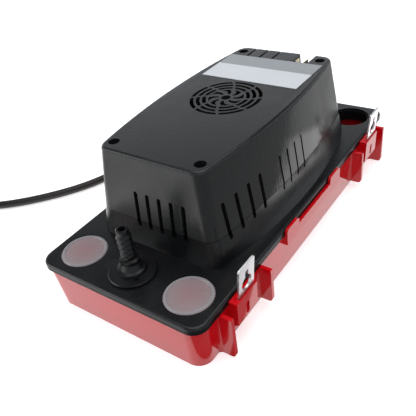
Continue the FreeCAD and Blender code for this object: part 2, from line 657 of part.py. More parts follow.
outline(lip_join, [(fin_root, -inner_edge), *lip_outer, (fin_root, inner_edge)])
pad(tank, lip_join, "Sizes.latch_root", name="LipJoin")

cavity_foot = sketch(tank, "tank_cavity_foot", offset="Sizes.tank_wall")
inner_corner = size("tank_corner") - wall
lean = draft * (1 - wall / size("tank_rim"))
round_box(cavity_foot, half_width - lean - wall, half_length - lean - wall, inner_corner)
cavity_rim = sketch(tank, "tank_cavity_rim", offset="Sizes.tank_rim + 0.01")
round_box(cavity_rim, half_width - wall, half_length - wall, inner_corner)
loft(tank, "SubtractiveLoft", [cavity_foot, cavity_rim])

# Each bracket stands in a leaning slot, and the window shows in the pocket's face below it
slope = math.tan(math.radians(size("bracket_lean")))
slot_foot = size("pocket_top") - size("bracket_root") - size("bracket_play")
slot_head = size("pocket_top") + 1.0
for number, side in enumerate((-1, 1), start=1):
    play = size("bracket_play")
    slot_half = size("bracket_width") / 2 + play
    sheet_half = size("bracket_thick") / 2 + play
    place = size("bracket_place")
    low_x, high_x = place + (slot_foot - size("pocket_top")) * slope, place + slope
    rear = side * station + slot_half
    seat = sketch(tank, f"tank_slot{number}_face", "XZ_Plane", offset=f"{-rear}")
    outline(seat, [(low_x - sheet_half, slot_foot), (low_x + sheet_half, slot_foot),
                   (high_x + sheet_half, slot_head), (high_x - sheet_half, slot_head)])
    pocket(tank, seat, f"{2 * slot_half}", reverse=True, name=f"Slot{number}")
    middle = side * station + (size("pocket_rear") - size("pocket_front")) / 2
    window_low = size("pocket_foot") + size("window_margin")
    window = sketch(tank, f"tank_window{number}_face", "YZ_Plane", offset="Sizes.pocket_face")
    slot(window, middle, window_low, window_low + size("window_height"), size("window_width"))
    pocket(tank, window, "Sizes.window_depth", name=f"Window{number}")

# Lid: deck with a rounded edge, the foot of the tower, inlets, and what hangs under the deck
lid = body("tank_lid")
lid_half_x = half_width + size("lid_overhang")
lid_half_y = half_length + size("lid_overhang")
edge_plan = sketch(lid, "lid_plan", offset=f"{DECK_TOP} - Sizes.skirt_drop")
round_box(edge_plan, lid_half_x, lid_half_y, size("tank_corner"))
deck = pad(lid, edge_plan, "Sizes.skirt_drop", name="Deck")
deck_round = round_edges(lid, deck, size("lid_edge_round"), at_height(deck_top), "DeckRound")
skirt_plan = sketch(lid, "lid_skirt_plan", offset=f"{DECK_LOW}")
skirt_wall = size("skirt_wall")
round_box(skirt_plan, lid_half_x - skirt_wall, lid_half_y - skirt_wall, size("tank_corner") - 1.0)
pocket(lid, skirt_plan, "Sizes.skirt_drop", name="Skirt")


def tower_section(owner, name, height, inset=0.0):
    """Outline of the tower at one of its four named heights."""
    heights = {
        "foot": (deck_top, "tower_foot_half", "tower_foot_end", "tower_foot_bow"),
        "neck": (deck_top + size("flare_height"), "tower_neck_half", "tower_neck_end", "tower_bow"),
        "seam": (size("seam_height"), "tower_seam_half", "tower_seam_end", "tower_bow"),
        "top": (size("tower_top"), "tower_top_half", "tower_top_end", "tower_bow"),
    }
    level, half, end, bow = heights[name]
    made = sketch(owner, f"{owner.Name}_{name}_{'inner' if inset else 'outer'}", offset=f"{height}")
    barrel(made, size(half) - inset, size(end) - inset, size(bow), size("tower_corner") - inset)
    return made


neck_height = deck_top + size("flare_height")
loft(lid, "AdditiveLoft", [
    tower_section(lid, "foot", deck_top - 0.5),
    tower_section(lid, "neck", neck_height),
    tower_section(lid, "seam", size("seam_height")),
], ruled=False)
room = size("tower_wall")
loft(lid, "SubtractiveLoft", [
    tower_section(lid, "neck", deck_top, room),
    tower_section(lid, "seam", size("seam_height") + 0.01, room),
])

bosses = sketch(lid, "lid_boss_plan", offset=f"{DECK_LOW} + 1")
for sign_x in ("", "-"):
    for sign_y in ("", "-"):
        circle(bosses, "Sizes.boss_radius", f"{sign_x}Sizes.screw_across", f"{sign_y}Sizes.screw_along")
pad(lid, bosses, f"Sizes.seam_height - {DECK_LOW} - 1", name="Bosses")
posts = sketch(lid, "lid_post_plan", offset=f"{DECK_LOW} + 1")
for sign in ("", "-"):
    circle(posts, "Sizes.boss_radius", f"{sign}Sizes.motor_bolt")
pad(lid, posts, f"Sizes.post_top - {DECK_LOW} - 1", name="Posts")
pilots = sketch(lid, "lid_pilot_plan", offset="Sizes.seam_height")
for sign_x in ("", "-"):
    for sign_y in ("", "-"):
        place = (f"{sign_x}Sizes.screw_across", f"{sign_y}Sizes.screw_along")
        circle(pilots, "Sizes.screw_radius + Sizes.pilot_play", *place)
pocket(lid, pilots, "Sizes.pilot_depth", name="Pilots")
post_pilots = sketch(lid, "lid_post_pilot_plan", offset="Sizes.post_top")
for sign in ("", "-"):
    circle(post_pilots, "Sizes.motor_bolt_radius + Sizes.pilot_play", f"{sign}Sizes.motor_bolt")
pocket(lid, post_pilots, "Sizes.pilot_depth", name="PostPilots")

collars = sketch(lid, "lid_collar_plan", offset=f"{DECK_LOW} - Sizes.inlet_collar")
for sign_x in ("", "-"):
    for sign_y in ("", "-"):
        circle(collars, "Sizes.inlet_seat + 1.4", f"{sign_x}Sizes.inlet_across", f"{sign_y}Sizes.inlet_along")
pad(lid, collars, "Sizes.inlet_collar + 0.5", name="Collars")
bores = sketch(lid, "lid_bore_plan", offset=DECK_TOP)
for sign_x in ("", "-"):
    for sign_y in ("", "-"):
        circle(bores, "Sizes.inlet_bore", f"{sign_x}Sizes.inlet_across", f"{sign_y}Sizes.inlet_along")
circle(bores, "Sizes.outlet_neck + Sizes.outlet_play", "0", "Sizes.outlet_along")
pocket(lid, bores, "30", name="Bores")
seats = sketch(lid, "lid_seat_plan", offset=DECK_TOP)
for sign_x in ("", "-"):
    for sign_y in ("", "-"):
        circle(seats, "Sizes.inlet_seat", f"{sign_x}Sizes.inlet_across", f"{sign_y}Sizes.inlet_along")
pocket(lid, seats, "Sizes.seat_depth", name="Seats")

EAR_OUTER = "(Sizes.arm_width / 2 + Sizes.ear_play + Sizes.ear_wall)"
EAR_INNER = "(Sizes.arm_width / 2 + Sizes.ear_play)"
ears = sketch(lid, "lid_ear_face", "YZ_Plane", offset=EAR_OUTER)
ear_mid, ear_low, ear_r = size("pivot_along"), size("pivot_height"), size("ear_radius")
ear_near, ear_far = ear_mid - ear_r, ear_mid + ear_r
edges(ears, [
    line((ear_near, deck_low + 0.5), (ear_near, ear_low)),
    arc_through((ear_near, ear_low), (ear_mid, ear_low - ear_r), (ear_far, ear_low)),
    line((ear_far, ear_low), (ear_far, deck_low + 0.5)),
    line((ear_far, deck_low + 0.5), (ear_near, deck_low + 0.5)),
])
pad(lid, ears, f"2 * {EAR_OUTER}", reverse=True, name="Ears")
ear_gap = sketch(lid, "lid_ear_gap", "YZ_Plane", offset=EAR_INNER)
gap_low = ear_low - ear_r - 2.0
gap_near, gap_far = ear_near - 5, ear_far + 5
outline(ear_gap, [(gap_near, deck_low), (gap_far, deck_low), (gap_far, gap_low), (gap_near, gap_low)])
pocket(lid, ear_gap, f"2 * {EAR_INNER}", name="EarGap")
ear_hole = sketch(lid, "lid_ear_hole", "YZ_Plane", offset=f"{EAR_OUTER} + 1")
circle(ear_hole, "Sizes.pivot_pin", "Sizes.pivot_along", "Sizes.pivot_height")
pocket(lid, ear_hole, f"2 * {EAR_OUTER} + 2", name="EarHole")

openings = sketch(lid, "lid_opening_plan", offset=DECK_TOP)
circle(openings, "Sizes.column_radius")
circle(openings, "Sizes.rod_radius + Sizes.rod_play", "0", "Sizes.rod_along")
pocket(lid, openings, "10", name="Openings")


def vents(owner, low, high):
    """Cuts the upright vents of the front wall and of both sides between two heights."""
    front = sketch(owner, f"{owner.Name}_front_vents", "XZ_Plane", offset="Sizes.tower_foot_end + 5")
    for step in range(int(size("end_slot_count"))):
        slot(front, size("end_slot_first") + step * size("end_slot_pitch"), low, high, size("slot_width"))
    depth = "5 + Sizes.tower_foot_end - Sizes.tower_top_end + Sizes.tower_wall + 1.5"
    pocket(owner, front, depth, name="FrontVents")
    side_room = size("tower_top_end") - size("side_slot_margin") + size("side_slot_rear")
    side_count = int(side_room / size("side_slot_pitch") + 1.01)
    for side, reverse in ((1, False), (-1, True)):
        away = "Sizes.tower_foot_half + 10"
        plane = sketch(owner, f"{owner.Name}_side_vents{side + 2}", "YZ_Plane", offset=f"{side} * ({away})")
        for step in range(side_count):
            along = size("side_slot_rear") - step * size("side_slot_pitch")
            slot(plane, along, low, high, size("slot_width"))
        for step in range(int(size("mid_slot_count"))):
            along = size("mid_slot_first") + step * size("mid_slot_pitch")
            slot(plane, along, low, high, size("mid_slot_width"))
        cut = f"{away} - Sizes.screw_across - Sizes.boss_radius - 0.6"
        pocket(owner, plane, cut, reverse, name=f"SideVents{side + 2}")


vents(lid, size("slot_foot"), size("slot_head"))
gland_hole = sketch(lid, "lid_gland_face", "XZ_Plane", offset="-(Sizes.tower_foot_end + 5)")
circle(gland_hole, "Sizes.relief_radius + Sizes.relief_play", "Sizes.cord_across", "Sizes.cord_height")
pocket(lid, gland_hole, "12", reverse=True, name="GlandHole")
doc.recompute()

# Cover: a drafted, bowed shell with the fan grille, wells for its screws and a notch for the terminals
cover = body("motor_cover")
loft(cover, "AdditiveLoft", [
    tower_section(cover, "seam", cover_low),
    tower_section(cover, "top", size("tower_top")),
])
ceiling = size("tower_top") - room
hollow = loft(cover, "SubtractiveLoft", [
    tower_section(cover, "seam", cover_low - 0.5, room),
    tower_section(cover, "top", ceiling, room),
])
round_edges(cover, hollow, size("cover_round"), at_height(size("tower_top")), "TopRound")
cover_bosses = sketch(cover, "cover_boss_plan", offset=COVER_LOW)
for sign_x in ("", "-"):
    for sign_y in ("", "-"):
        circle(cover_bosses, "Sizes.boss_radius", f"{sign_x}Sizes.screw_across", f"{sign_y}Sizes.screw_along")
pad(cover, cover_bosses, f"Sizes.tower_top - {COVER_LOW} - 1", name="Bosses")
wells = sketch(cover, "cover_well_plan", offset="Sizes.tower_top")
holes = sketch(cover, "cover_hole_plan", offset="Sizes.tower_top")
for sign_x in ("", "-"):
    for sign_y in ("", "-"):
        circle(wells, "Sizes.well_radius", f"{sign_x}Sizes.screw_across", f"{sign_y}Sizes.screw_along")
        place = (f"{sign_x}Sizes.screw_across", f"{sign_y}Sizes.screw_along")
        circle(holes, "Sizes.screw_radius + Sizes.screw_play", *place)
pocket(cover, wells, "Sizes.well_depth", name="Wells")
pocket(cover, holes, f"Sizes.tower_top - {COVER_LOW} + 1", name="Holes")
vents(cover, size("slot_foot"), size("slot_head"))

terminal_notch = sketch(cover, "cover_notch_plan", offset="Sizes.tower_top")
notch_end = "Sizes.tower_seam_end + 2"
rectangle(terminal_notch, "Sizes.notch_from", "Sizes.notch_front", "Sizes.notch_to", notch_end)
pocket(cover, terminal_notch, "Sizes.notch_depth", name="Notch")
slits = sketch(cover, "cover_slit_plan", offset="Sizes.tower_top")
for step in range(3):
    across = f"Sizes.slit_first + {step} * Sizes.slit_pitch"
    near, far = f"{across} - Sizes.slit_width / 2", f"{across} + Sizes.slit_width / 2"
    rectangle(slits, near, "Sizes.label_rear + 1.2", far, notch_end)
pocket(cover, slits, "Sizes.slit_depth", name="Slits")

hub_hole = sketch(cover, "cover_hub_hole", offset="Sizes.tower_top")
circle(hub_hole, "Sizes.hub_hole")
pocket(cover, hub_hole, "Sizes.tower_wall + 1", name="HubHole")
pitch = 360.0 / size("grille_spokes")
sector = sketch(cover, "cover_grille_sector", offset="Sizes.tower_top")


def swept(radius, side):
    """Angle of a spoke's edge at a radius: the spokes sweep round as they go out."""
    share = (radius - size("hub_hole")) / (size("grille_radius") - size("hub_hole"))
    half = math.degrees(size("spoke_width") / 2 / radius)
    return share * size("spoke_sweep") + side * half


def sector_opening(inner, outer):
    start_in, start_out = swept(inner, 1), swept(outer, 1)
    end_in, end_out = swept(inner, -1) + pitch, swept(outer, -1) + pitch
    edges(sector, [
        arc_through(polar(inner, start_in), polar(inner, (start_in + end_in) / 2), polar(inner, end_in)),
        line(polar(inner, end_in), polar(outer, end_out)),
        arc_through(polar(outer, end_out), polar(outer, (start_out + end_out) / 2), polar(outer, start_out)),
        line(polar(outer, start_out), polar(inner, start_in)),
    ])


ring_outer = size("grille_radius")
for ring in range(int(size("grille_rings"))):
    sector_opening(ring_outer - size("grille_slot"), ring_outer)
    ring_outer -= size("grille_slot") + size("grille_rib")
vane_in = size("hub_hole") + size("hub_ring")
lead, trail = 8.0, 30.0
vane_mid = (vane_in + ring_outer) / 2
edges(sector, [
    arc_through(polar(vane_in, 4), polar(vane_in, 12), polar(vane_in, 20)),
    arc_through(polar(vane_in, 20), polar(vane_mid, 18 + lead), polar(ring_outer, 20 + trail)),
    arc_through(polar(ring_outer, 20 + trail), polar(ring_outer, 35), polar(ring_outer, 18)),
    arc_through(polar(ring_outer, 18), polar(vane_mid, 7), polar(vane_in, 4)),
])
openings_cut = pocket(cover, sector, "Sizes.tower_wall + 1", name="Grille")
polar_pattern(cover, openings_cut, int(size("grille_spokes")))
doc.recompute()

# Cover screws: pan heads at the bottom of the wells, shanks into the lid's bosses
head_low = size("tower_top") - size("well_depth")
shank, head = size("screw_radius"), size("screw_head")
seat_z, head_z = size("screw_length"), size("screw_length") + size("head_height")
screw_profile = [(0, 0), (shank, 0), (shank, seat_z), (head, seat_z), (head, head_z - 0.8),
                 (head - 1.0, head_z), (0, head_z)]


def turned(points):
    """Solid of revolution about Z from an outline in the XZ plane."""
    wire = Part.makePolygon([Vector(x, 0, z) for x, z in points + points[:1]])
    return Part.Face(wire).revolve(Vector(0, 0, 0), Vector(0, 0, 1), 360)


def screws(label, places, profile, low):
    solids = []
    for x, y in places:
        shape = turned(profile)
        shape.translate(Vector(x, y, low))
        solids.append(shape)
    return feature_node(label, Part.makeCompound(solids))


corners = [(sx * size("screw_across"), sy * size("screw_along")) for sx in (-1, 1) for sy in (-1, 1)]
screws("cover_screws", corners, screw_profile, head_low - size("screw_length"))

# Inlet caps: flat discs with a hollow plug
CAPS = (("inlet_cap_front_left", -1, -1), ("inlet_cap_front_right", 1, -1), ("inlet_cap_rear_left", -1, 1))
for name, side_x, side_y in CAPS:
    cap = body(name)
    disc, plug = size("inlet_seat") - size("cap_play"), size("inlet_bore") - size("cap_play")
    hollow = plug - size("cap_wall")
    thick, skirt = size("cap_thick"), size("cap_skirt")
    revolve(cap, [(0, 0), (hollow, 0), (hollow, -skirt), (plug, -skirt), (plug, 0), (disc, 0),
                  (disc, thick - 0.6), (disc - 0.6, thick), (disc - 2.0, thick), (disc - 2.4, thick - 0.4),
                  (0, thick - 0.4)])
    cap_low = deck_top - size("seat_depth") + size("cap_play")
    cap.Placement.Base = Vector(side_x * size("inlet_across"), side_y * size("inlet_along"), cap_low)

# Outlet: check valve body, ball, ring seal and the barbed twist-lock fitting
outlet = Vector(0, size("outlet_along"), 0)
valve = body("check_valve_body")
seat_high = size("valve_seat_height")
chamber = size("ball_radius") + 2.2
neck_bore = size("outlet_neck") + size("outlet_play")
valve_low, valve_high, valve_r = size("valve_foot"), deck_low - 0.1, size("valve_radius")
socket_low, throat = deck_low - size("valve_socket"), chamber - size("valve_throat")
seat_r, floor_high = size("valve_seat"), valve_low + size("valve_skin")
revolve(valve, [
    (0, valve_low), (valve_r, valve_low), (valve_r, valve_high), (neck_bore, valve_high),
    (neck_bore, socket_low), (chamber, socket_low - 1.5), (chamber, seat_high + 1.5), (seat_r, seat_high),
    (seat_r, seat_high - 2.0), (throat, seat_high - 3.0), (throat, floor_high), (0, floor_high)])
stub = sketch(valve, "valve_stub_face", "XZ_Plane", offset="-(Sizes.valve_radius + Sizes.spigot_length)")
circle(stub, "Sizes.spigot_radius", "0", "Sizes.pump_line")
pad(valve, stub, "Sizes.valve_radius + Sizes.spigot_length - 6", name="Stub")
stub_end = "-(Sizes.valve_radius + Sizes.spigot_length + 1)"
stub_bore = sketch(valve, "valve_stub_bore", "XZ_Plane", offset=stub_end)
circle(stub_bore, "Sizes.valve_bore", "0", "Sizes.pump_line")
pocket(valve, stub_bore, "Sizes.valve_radius + Sizes.spigot_length - 1", reverse=True, name="StubBore")
valve.Placement.Base = outlet

ball = doc.addObject("Part::Sphere", "check_ball")
ball.Label = "check_ball"
ball.setExpression("Radius", "Sizes.ball_radius")
seat_run, seat_rise = chamber - size("valve_seat"), 1.5
slant = (size("ball_radius") + 0.1) * math.hypot(seat_run, seat_rise)
ball_rest = (slant - size("valve_seat") * seat_rise) / seat_run
ball.Placement.Base = outlet + Vector(0, 0, seat_high + ball_rest)
nodes["check_ball"] = ball

fitting = body("outlet_fitting")
bore = size("outlet_bore")
neck, base = size("outlet_neck"), size("outlet_disc")
groove = neck - size("groove_depth")
neck_low, base_low = deck_low - size("neck_drop"), deck_top + size("fitting_play")
groove_high = deck_low - size("groove_drop")
groove_low = groove_high - size("groove_width")
collar, collar_top = size("collar_radius"), deck_top + size("collar_top")
stem, stop = size("stem_radius"), size("stop_radius")
barb_foot = size("barb_foot")
profile = [(bore, neck_low), (neck, neck_low), (neck, groove_low), (groove, groove_low),
           (groove, groove_high), (neck, groove_high), (neck, base_low), (base, base_low),
           (base, deck_top + 1.6), (base - 0.6, deck_top + 2.2), (collar, deck_top + 2.4),
           (collar - 0.4, collar_top - 0.6),
           (collar - 2.2, collar_top), (stem + 0.6, deck_top + 7.6), (stem, barb_foot - 3.2),
           (stop, barb_foot - 3.0), (stop, barb_foot - 1.0), (5.0, barb_foot - 0.6),
           (size("barb_root"), barb_foot)]
for step in range(int(size("barb_count"))):
    low = barb_foot + step * size("barb_pitch")
    land = 1.6 if step == 0 else 0.3
    profile.append((size("barb_root"), low + 0.9))
    profile.append((size("barb_radius"), low + 1.1))
    profile.append((size("barb_radius"), low + 1.1 + land))
    profile.append((size("barb_root") + 0.15, low + size("barb_pitch") - 0.1))
barb_top = barb_foot + size("barb_count") * size("barb_pitch")
tip = barb_top + 3.1
profile += [(size("barb_root"), tip - 0.5), (size("barb_root") - 0.5, tip), (bore, tip)]
revolve(fitting, profile)
lugs = sketch(fitting, "fitting_lug_plan", offset=f"{deck_top + 2.0}")
for turn in (-35, 145):
    inner, outer_r = 8.0, 11.2
    edges(lugs, [
        arc_through(polar(inner, turn - 9), polar(inner, turn), polar(inner, turn + 9)),
        line(polar(inner, turn + 9), polar(outer_r, turn + 8)),
        arc_through(polar(outer_r, turn + 8), polar(outer_r, turn), polar(outer_r, turn - 8)),
        line(polar(outer_r, turn - 8), polar(inner, turn - 9)),
    ])
pad(fitting, lugs, "2.6", name="Lugs")
fitting.Placement.Base = outlet

seal = doc.addObject("Part::Torus", "outlet_seal")
seal.Label = "outlet_seal"
seal.setExpression("Radius2", "Sizes.seal_wire")
seal.setExpression("Radius1", "Sizes.outlet_neck - Sizes.groove_depth + Sizes.seal_wire + 0.02")
seal.Placement.Base = outlet + Vector(0, 0, deck_low - 1.5)
nodes["outlet_seal"] = seal

# Hanging brackets: sheet steel with a keyhole, leaning out of the tank's pockets
for name, side in (("hanger_front", -1), ("hanger_rear", 1)):
    hanger = body(name)
    face = sketch(hanger, f"{name}_face", "YZ_Plane", offset="-Sizes.bracket_thick / 2")
    half, corner = size("bracket_width") / 2, size("bracket_corner")
    low, top = -size("bracket_root"), size("bracket_rise")
    level = top - corner
    edges(face, [
        line((-half, low), (half, low)),
        line((half, low), (half, level)),
        arc_through((half, level), polar(corner, 45, (half - corner, level)), (half - corner, top)),
        line((half - corner, top), (-half + corner, top)),
        arc_through((-half + corner, top), polar(corner, 135, (-half + corner, level)), (-half, level)),
        line((-half, level), (-half, low)),
    ])
    pad(hanger, face, "Sizes.bracket_thick", name="Sheet")
    keyhole = sketch(hanger, f"{name}_keyhole", "YZ_Plane", offset="Sizes.bracket_thick / 2")
    neck_half, hole_r = size("keyhole_slot"), size("keyhole_radius")
    centre, neck = size("keyhole_rise"), size("keyhole_neck")
    meet = centre + math.sqrt(hole_r ** 2 - neck_half ** 2)
    edges(keyhole, [
        line((neck_half, meet), (neck_half, neck)),
        arc_through((neck_half, neck), (0, neck + neck_half), (-neck_half, neck)),
        line((-neck_half, neck), (-neck_half, meet)),
        arc_through((-neck_half, meet), (0, centre - hole_r), (neck_half, meet)),
    ])
    pocket(hanger, keyhole, "Sizes.bracket_thick", name="Keyhole")
    at = Vector(size("bracket_place"), side * station, size("pocket_top"))
    hanger.Placement = FreeCAD.Placement(at, Rotation(Vector(0, 1, 0), size("bracket_lean")))

# Bare label on the cover's top
rating = doc.addObject("Part::Box", "rating_label")
rating.Label = "rating_label"
rating.setExpression("Length", "Sizes.label_half * 2")
rating.setExpression("Width", "Sizes.label_rear - Sizes.label_front")
rating.setExpression("Height", "Sizes.label_thick")
rating.Placement.Base = Vector(-size("label_half"), size("label_front"), size("tower_top"))
nodes["rating_label"] = rating

# Motor: stack with a window for the coil, rotor, shaft, bearing bars, bolts and cooling fan
stack = body("stator_stack")
low, high = size("stack_low"), size("stack_high")
plan = sketch(stack, "stack_plan", offset="Sizes.stack_low")
mid_y = (size("stack_front") + size("stack_rear")) / 2
stack_deep = (size("stack_rear") - size("stack_front")) / 2
round_box(plan, size("stack_half"), stack_deep, size("stack_corner"), y=mid_y)
pad(stack, plan, "Sizes.stack_height", name="Stack")
cuts = sketch(stack, "stack_cuts", offset="Sizes.stack_high")
circle(cuts, "Sizes.bore_radius")
for sign in ("", "-"):
    circle(cuts, "Sizes.motor_bolt_radius + Sizes.screw_play", f"{sign}Sizes.motor_bolt")
leg_front = "Sizes.stack_rear - Sizes.stack_leg"
window_front = f"{leg_front} - Sizes.coil_build - 2.5"
rectangle(cuts, "-Sizes.coil_half - 1.5", window_front, "Sizes.coil_half + 1.5", leg_front)
pocket(stack, cuts, "Sizes.stack_height", name="Cuts")

coil = body("stator_coil")
coil_face = sketch(coil, "coil_face", "YZ_Plane", offset="-Sizes.coil_half")
mid_z = (low + high) / 2
leg_mid = size("stack_rear") - size("stack_leg") / 2
build, coil_play = size("coil_build"), size("coil_play")
inner_y, inner_z = size("stack_leg") / 2 + coil_play, size("stack_height") / 2 + coil_play
round_box(coil_face, inner_y + build, inner_z + build, 4.0, leg_mid, mid_z)
round_box(coil_face, inner_y, inner_z, 0.8, leg_mid, mid_z)
pad(coil, coil_face, "Sizes.coil_half * 2", name="Winding")

rotor = body("motor_rotor")
rotor_radius = size("bore_radius") - size("air_gap")
rotor_end = rotor_radius - 3
shaft_r = size("shaft_radius")
revolve(rotor, [
    (shaft_r, low - 1), (rotor_end, low - 1), (rotor_end, low + 0.5), (rotor_radius, low + 0.5),
    (rotor_radius, high - 0.5), (rotor_end, high - 0.5), (rotor_end, high + 1), (shaft_r, high + 1)])

shaft = doc.addObject("Part::Cylinder", "motor_shaft")
shaft.Label = "motor_shaft"
shaft.setExpression("Radius", "Sizes.shaft_radius")
shaft.setExpression("Height", "Sizes.fan_low + Sizes.fan_height - Sizes.impeller_low - 1")
shaft.setExpression("Placement.Base.z", "Sizes.impeller_low + 1")
nodes["motor_shaft"] = shaft

bar_thick = size("bracket_bar")
bar_low = size("post_top")
bar_high = high + size("bar_stand")
BARS = (
    ("lower_bearing_bar", bar_low, bar_low - size("hub_over"), low - size("hub_air"), bar_low + bar_thick),
    ("upper_bearing_bar", bar_high, high + size("hub_air"), bar_high + bar_thick + size("hub_over"), high),
)
for name, bar_at, hub_from, hub_to, feet_from in BARS:
    bar = body(name)
    bar_plan = sketch(bar, f"{name}_plan", offset=f"{bar_at}")
    bar_half = size("bar_width") / 2
    round_box(bar_plan, size("motor_bolt") + size("bar_end"), bar_half, bar_half - 1.0)
    pad(bar, bar_plan, "Sizes.bracket_bar", name="Bar")
    hub = sketch(bar, f"{name}_hub", offset=f"{hub_from}")
    circle(hub, "Sizes.bearing_hub")
    pad(bar, hub, f"{hub_to - hub_from}", name="Hub")
    feet = sketch(bar, f"{name}_feet", offset=f"{feet_from}")
    for sign in ("", "-"):
        circle(feet, "Sizes.bar_foot", f"{sign}Sizes.motor_bolt")
    pad(bar, feet, "Sizes.bar_stand", name="Feet")
    holes_plan = sketch(bar, f"{name}_holes", offset=f"{bar_at} + 20")
    circle(holes_plan, "Sizes.shaft_radius + Sizes.bearing_play")
    for sign in ("", "-"):
        circle(holes_plan, "Sizes.motor_bolt_radius + Sizes.screw_play", f"{sign}Sizes.motor_bolt")
    pocket(bar, holes_plan, "40", name="Holes")

bolt_low = size("post_top") - size("screw_grip")
bolt_top = bar_high + bar_thick
bolt_length = bolt_top - bolt_low
bolt, bolt_head = size("motor_bolt_radius"), size("motor_bolt_radius") + 1.7
bolt_profile = [(0, 0), (bolt, 0), (bolt, bolt_length), (bolt_head, bolt_length),
                (bolt_head, bolt_length + 2.0), (0, bolt_length + 2.0)]
screws("motor_bolts", [(-size("motor_bolt"), 0), (size("motor_bolt"), 0)], bolt_profile, bolt_low)

fan = body("cooling_fan")
fan_hub = sketch(fan, "fan_hub_plan", offset="Sizes.fan_low")
circle(fan_hub, "Sizes.fan_hub")
circle(fan_hub, "Sizes.shaft_radius")
pad(fan, fan_hub, "Sizes.fan_height", name="Hub")
fan_disc = sketch(fan, "fan_disc_plan", offset="Sizes.fan_low")
circle(fan_disc, "Sizes.fan_disc")
circle(fan_disc, "Sizes.shaft_radius + 1")
pad(fan, fan_disc, "1.4", name="Disc")
blade = sketch(fan, "fan_blade_plan", offset="Sizes.fan_low")
blade_tip, blade_foot = size("fan_radius"), size("fan_hub") - 0.9
edges(blade, [
    arc_through(polar(blade_foot, 0), polar(blade_tip * 0.6, 12), polar(blade_tip, 34)),
    arc_through(polar(blade_tip, 34), polar(blade_tip, 36), polar(blade_tip, 38)),
    arc_through(polar(blade_tip, 38), polar(blade_tip * 0.6, 18), polar(blade_foot, 14)),
    line(polar(blade_foot, 14), polar(blade_foot, 0)),
])
blade_pad = pad(fan, blade, "Sizes.fan_height", name="Blade")
polar_pattern(fan, blade_pad, int(size("fan_blades")))

# Pump under the deck: housing with its column, impeller, strainer and the tube to the valve
housing = body("pump_housing")
column = size("column_radius")
pump_wall = size("pump_wall")
chamber_top = size("impeller_low") + size("impeller_height") + 0.8
volute = size("volute_radius")
housing_low = size("impeller_low") - 1.6
flange = size("column_foot")
revolve(housing, [
    (column, chamber_top), (volute, chamber_top), (volute, housing_low), (volute + pump_wall, housing_low),
    (volute + pump_wall, chamber_top + pump_wall), (column + pump_wall, chamber_top + pump_wall + 2.5),
    (column + pump_wall, deck_low - 3.0), (flange, deck_low - 2.4), (flange, deck_low - 0.1),
    (column, deck_low - 0.1)])
nozzle = sketch(housing, "housing_nozzle_face", "XZ_Plane", offset="Sizes.volute_radius + 1")
circle(nozzle, "Sizes.spigot_radius", "0", "Sizes.pump_line")
pad(housing, nozzle, "Sizes.nozzle_length", name="Nozzle")
nozzle_end = "Sizes.volute_radius + Sizes.nozzle_length + 7"
nozzle_bore = sketch(housing, "housing_nozzle_bore", "XZ_Plane", offset=nozzle_end)
circle(nozzle_bore, "Sizes.pump_bore", "0", "Sizes.pump_line")
pocket(housing, nozzle_bore, "Sizes.nozzle_length + 11", name="NozzleBore")

strainer = body("intake_strainer")
strainer_low = size("tank_wall") + size("strainer_gap")
strainer_plan = sketch(strainer, "strainer_plan", offset=f"{strainer_low}")
circle(strainer_plan, "Sizes.volute_radius + Sizes.pump_wall")
circle(strainer_plan, "Sizes.strainer_hole")
pad(strainer, strainer_plan, f"{housing_low - 0.1 - strainer_low}", name="Plate")
intake = sketch(strainer, "strainer_slot", offset=f"{housing_low}")
slot_in, slot_out = size("strainer_inner"), size("strainer_outer")
edges(intake, [
    arc_through(polar(slot_in, -14), polar(slot_in, 0), polar(slot_in, 14)),
    line(polar(slot_in, 14), polar(slot_out, 12)),
    arc_through(polar(slot_out, 12), polar(slot_out, 0), polar(slot_out, -12)),
    line(polar(slot_out, -12), polar(slot_in, -14)),
])
intake_cut = pocket(strainer, intake, "6", name="Intake")
polar_pattern(strainer, intake_cut, int(size("strainer_slots")))

impeller = body("pump_impeller")
impeller_plan = sketch(impeller, "impeller_disc", offset="Sizes.impeller_low")
circle(impeller_plan, "Sizes.impeller_radius")
pad(impeller, impeller_plan, "Sizes.impeller_plate", name="Disc")
impeller_hub = sketch(impeller, "impeller_hub", offset="Sizes.impeller_low")
circle(impeller_hub, "Sizes.impeller_boss")
pad(impeller, impeller_hub, "Sizes.impeller_height", name="Hub")
vane = sketch(impeller, "impeller_vane", offset="Sizes.impeller_low")
rim_r = size("impeller_radius")
vane_end, vane_foot = rim_r - 0.2, size("impeller_boss") - 0.4
edges(vane, [
    arc_through(polar(vane_foot, 0), polar(rim_r * 0.6, -16), polar(vane_end, -44)),
    arc_through(polar(vane_end, -44), polar(vane_end, -47), polar(vane_end, -50)),
    arc_through(polar(vane_end, -50), polar(rim_r * 0.6, -26), polar(vane_foot, -18)),
    line(polar(vane_foot, -18), polar(vane_foot, 0)),
])
vane_pad = pad(impeller, vane, "Sizes.impeller_height", name="Vane")
polar_pattern(impeller, vane_pad, int(size("impeller_vanes")))
impeller_bore = sketch(impeller, "impeller_bore", offset="Sizes.impeller_low + Sizes.impeller_height")
circle(impeller_bore, "Sizes.shaft_radius")
pocket(impeller, impeller_bore, "Sizes.impeller_height - 1", name="Bore")

tube = body("discharge_tube")
tube_from = size("volute_radius") + size("pump_wall") + size("tube_gap")
tube_to = -size("outlet_along") - size("valve_radius") - size("tube_gap")
tube_face = sketch(tube, "tube_face", "XZ_Plane", offset=f"{tube_from}")
circle(tube_face, "Sizes.tube_radius", "0", "Sizes.pump_line")
circle(tube_face, "Sizes.tube_bore", "0", "Sizes.pump_line")
pad(tube, tube_face, f"{tube_to - tube_from}", name="Tube")

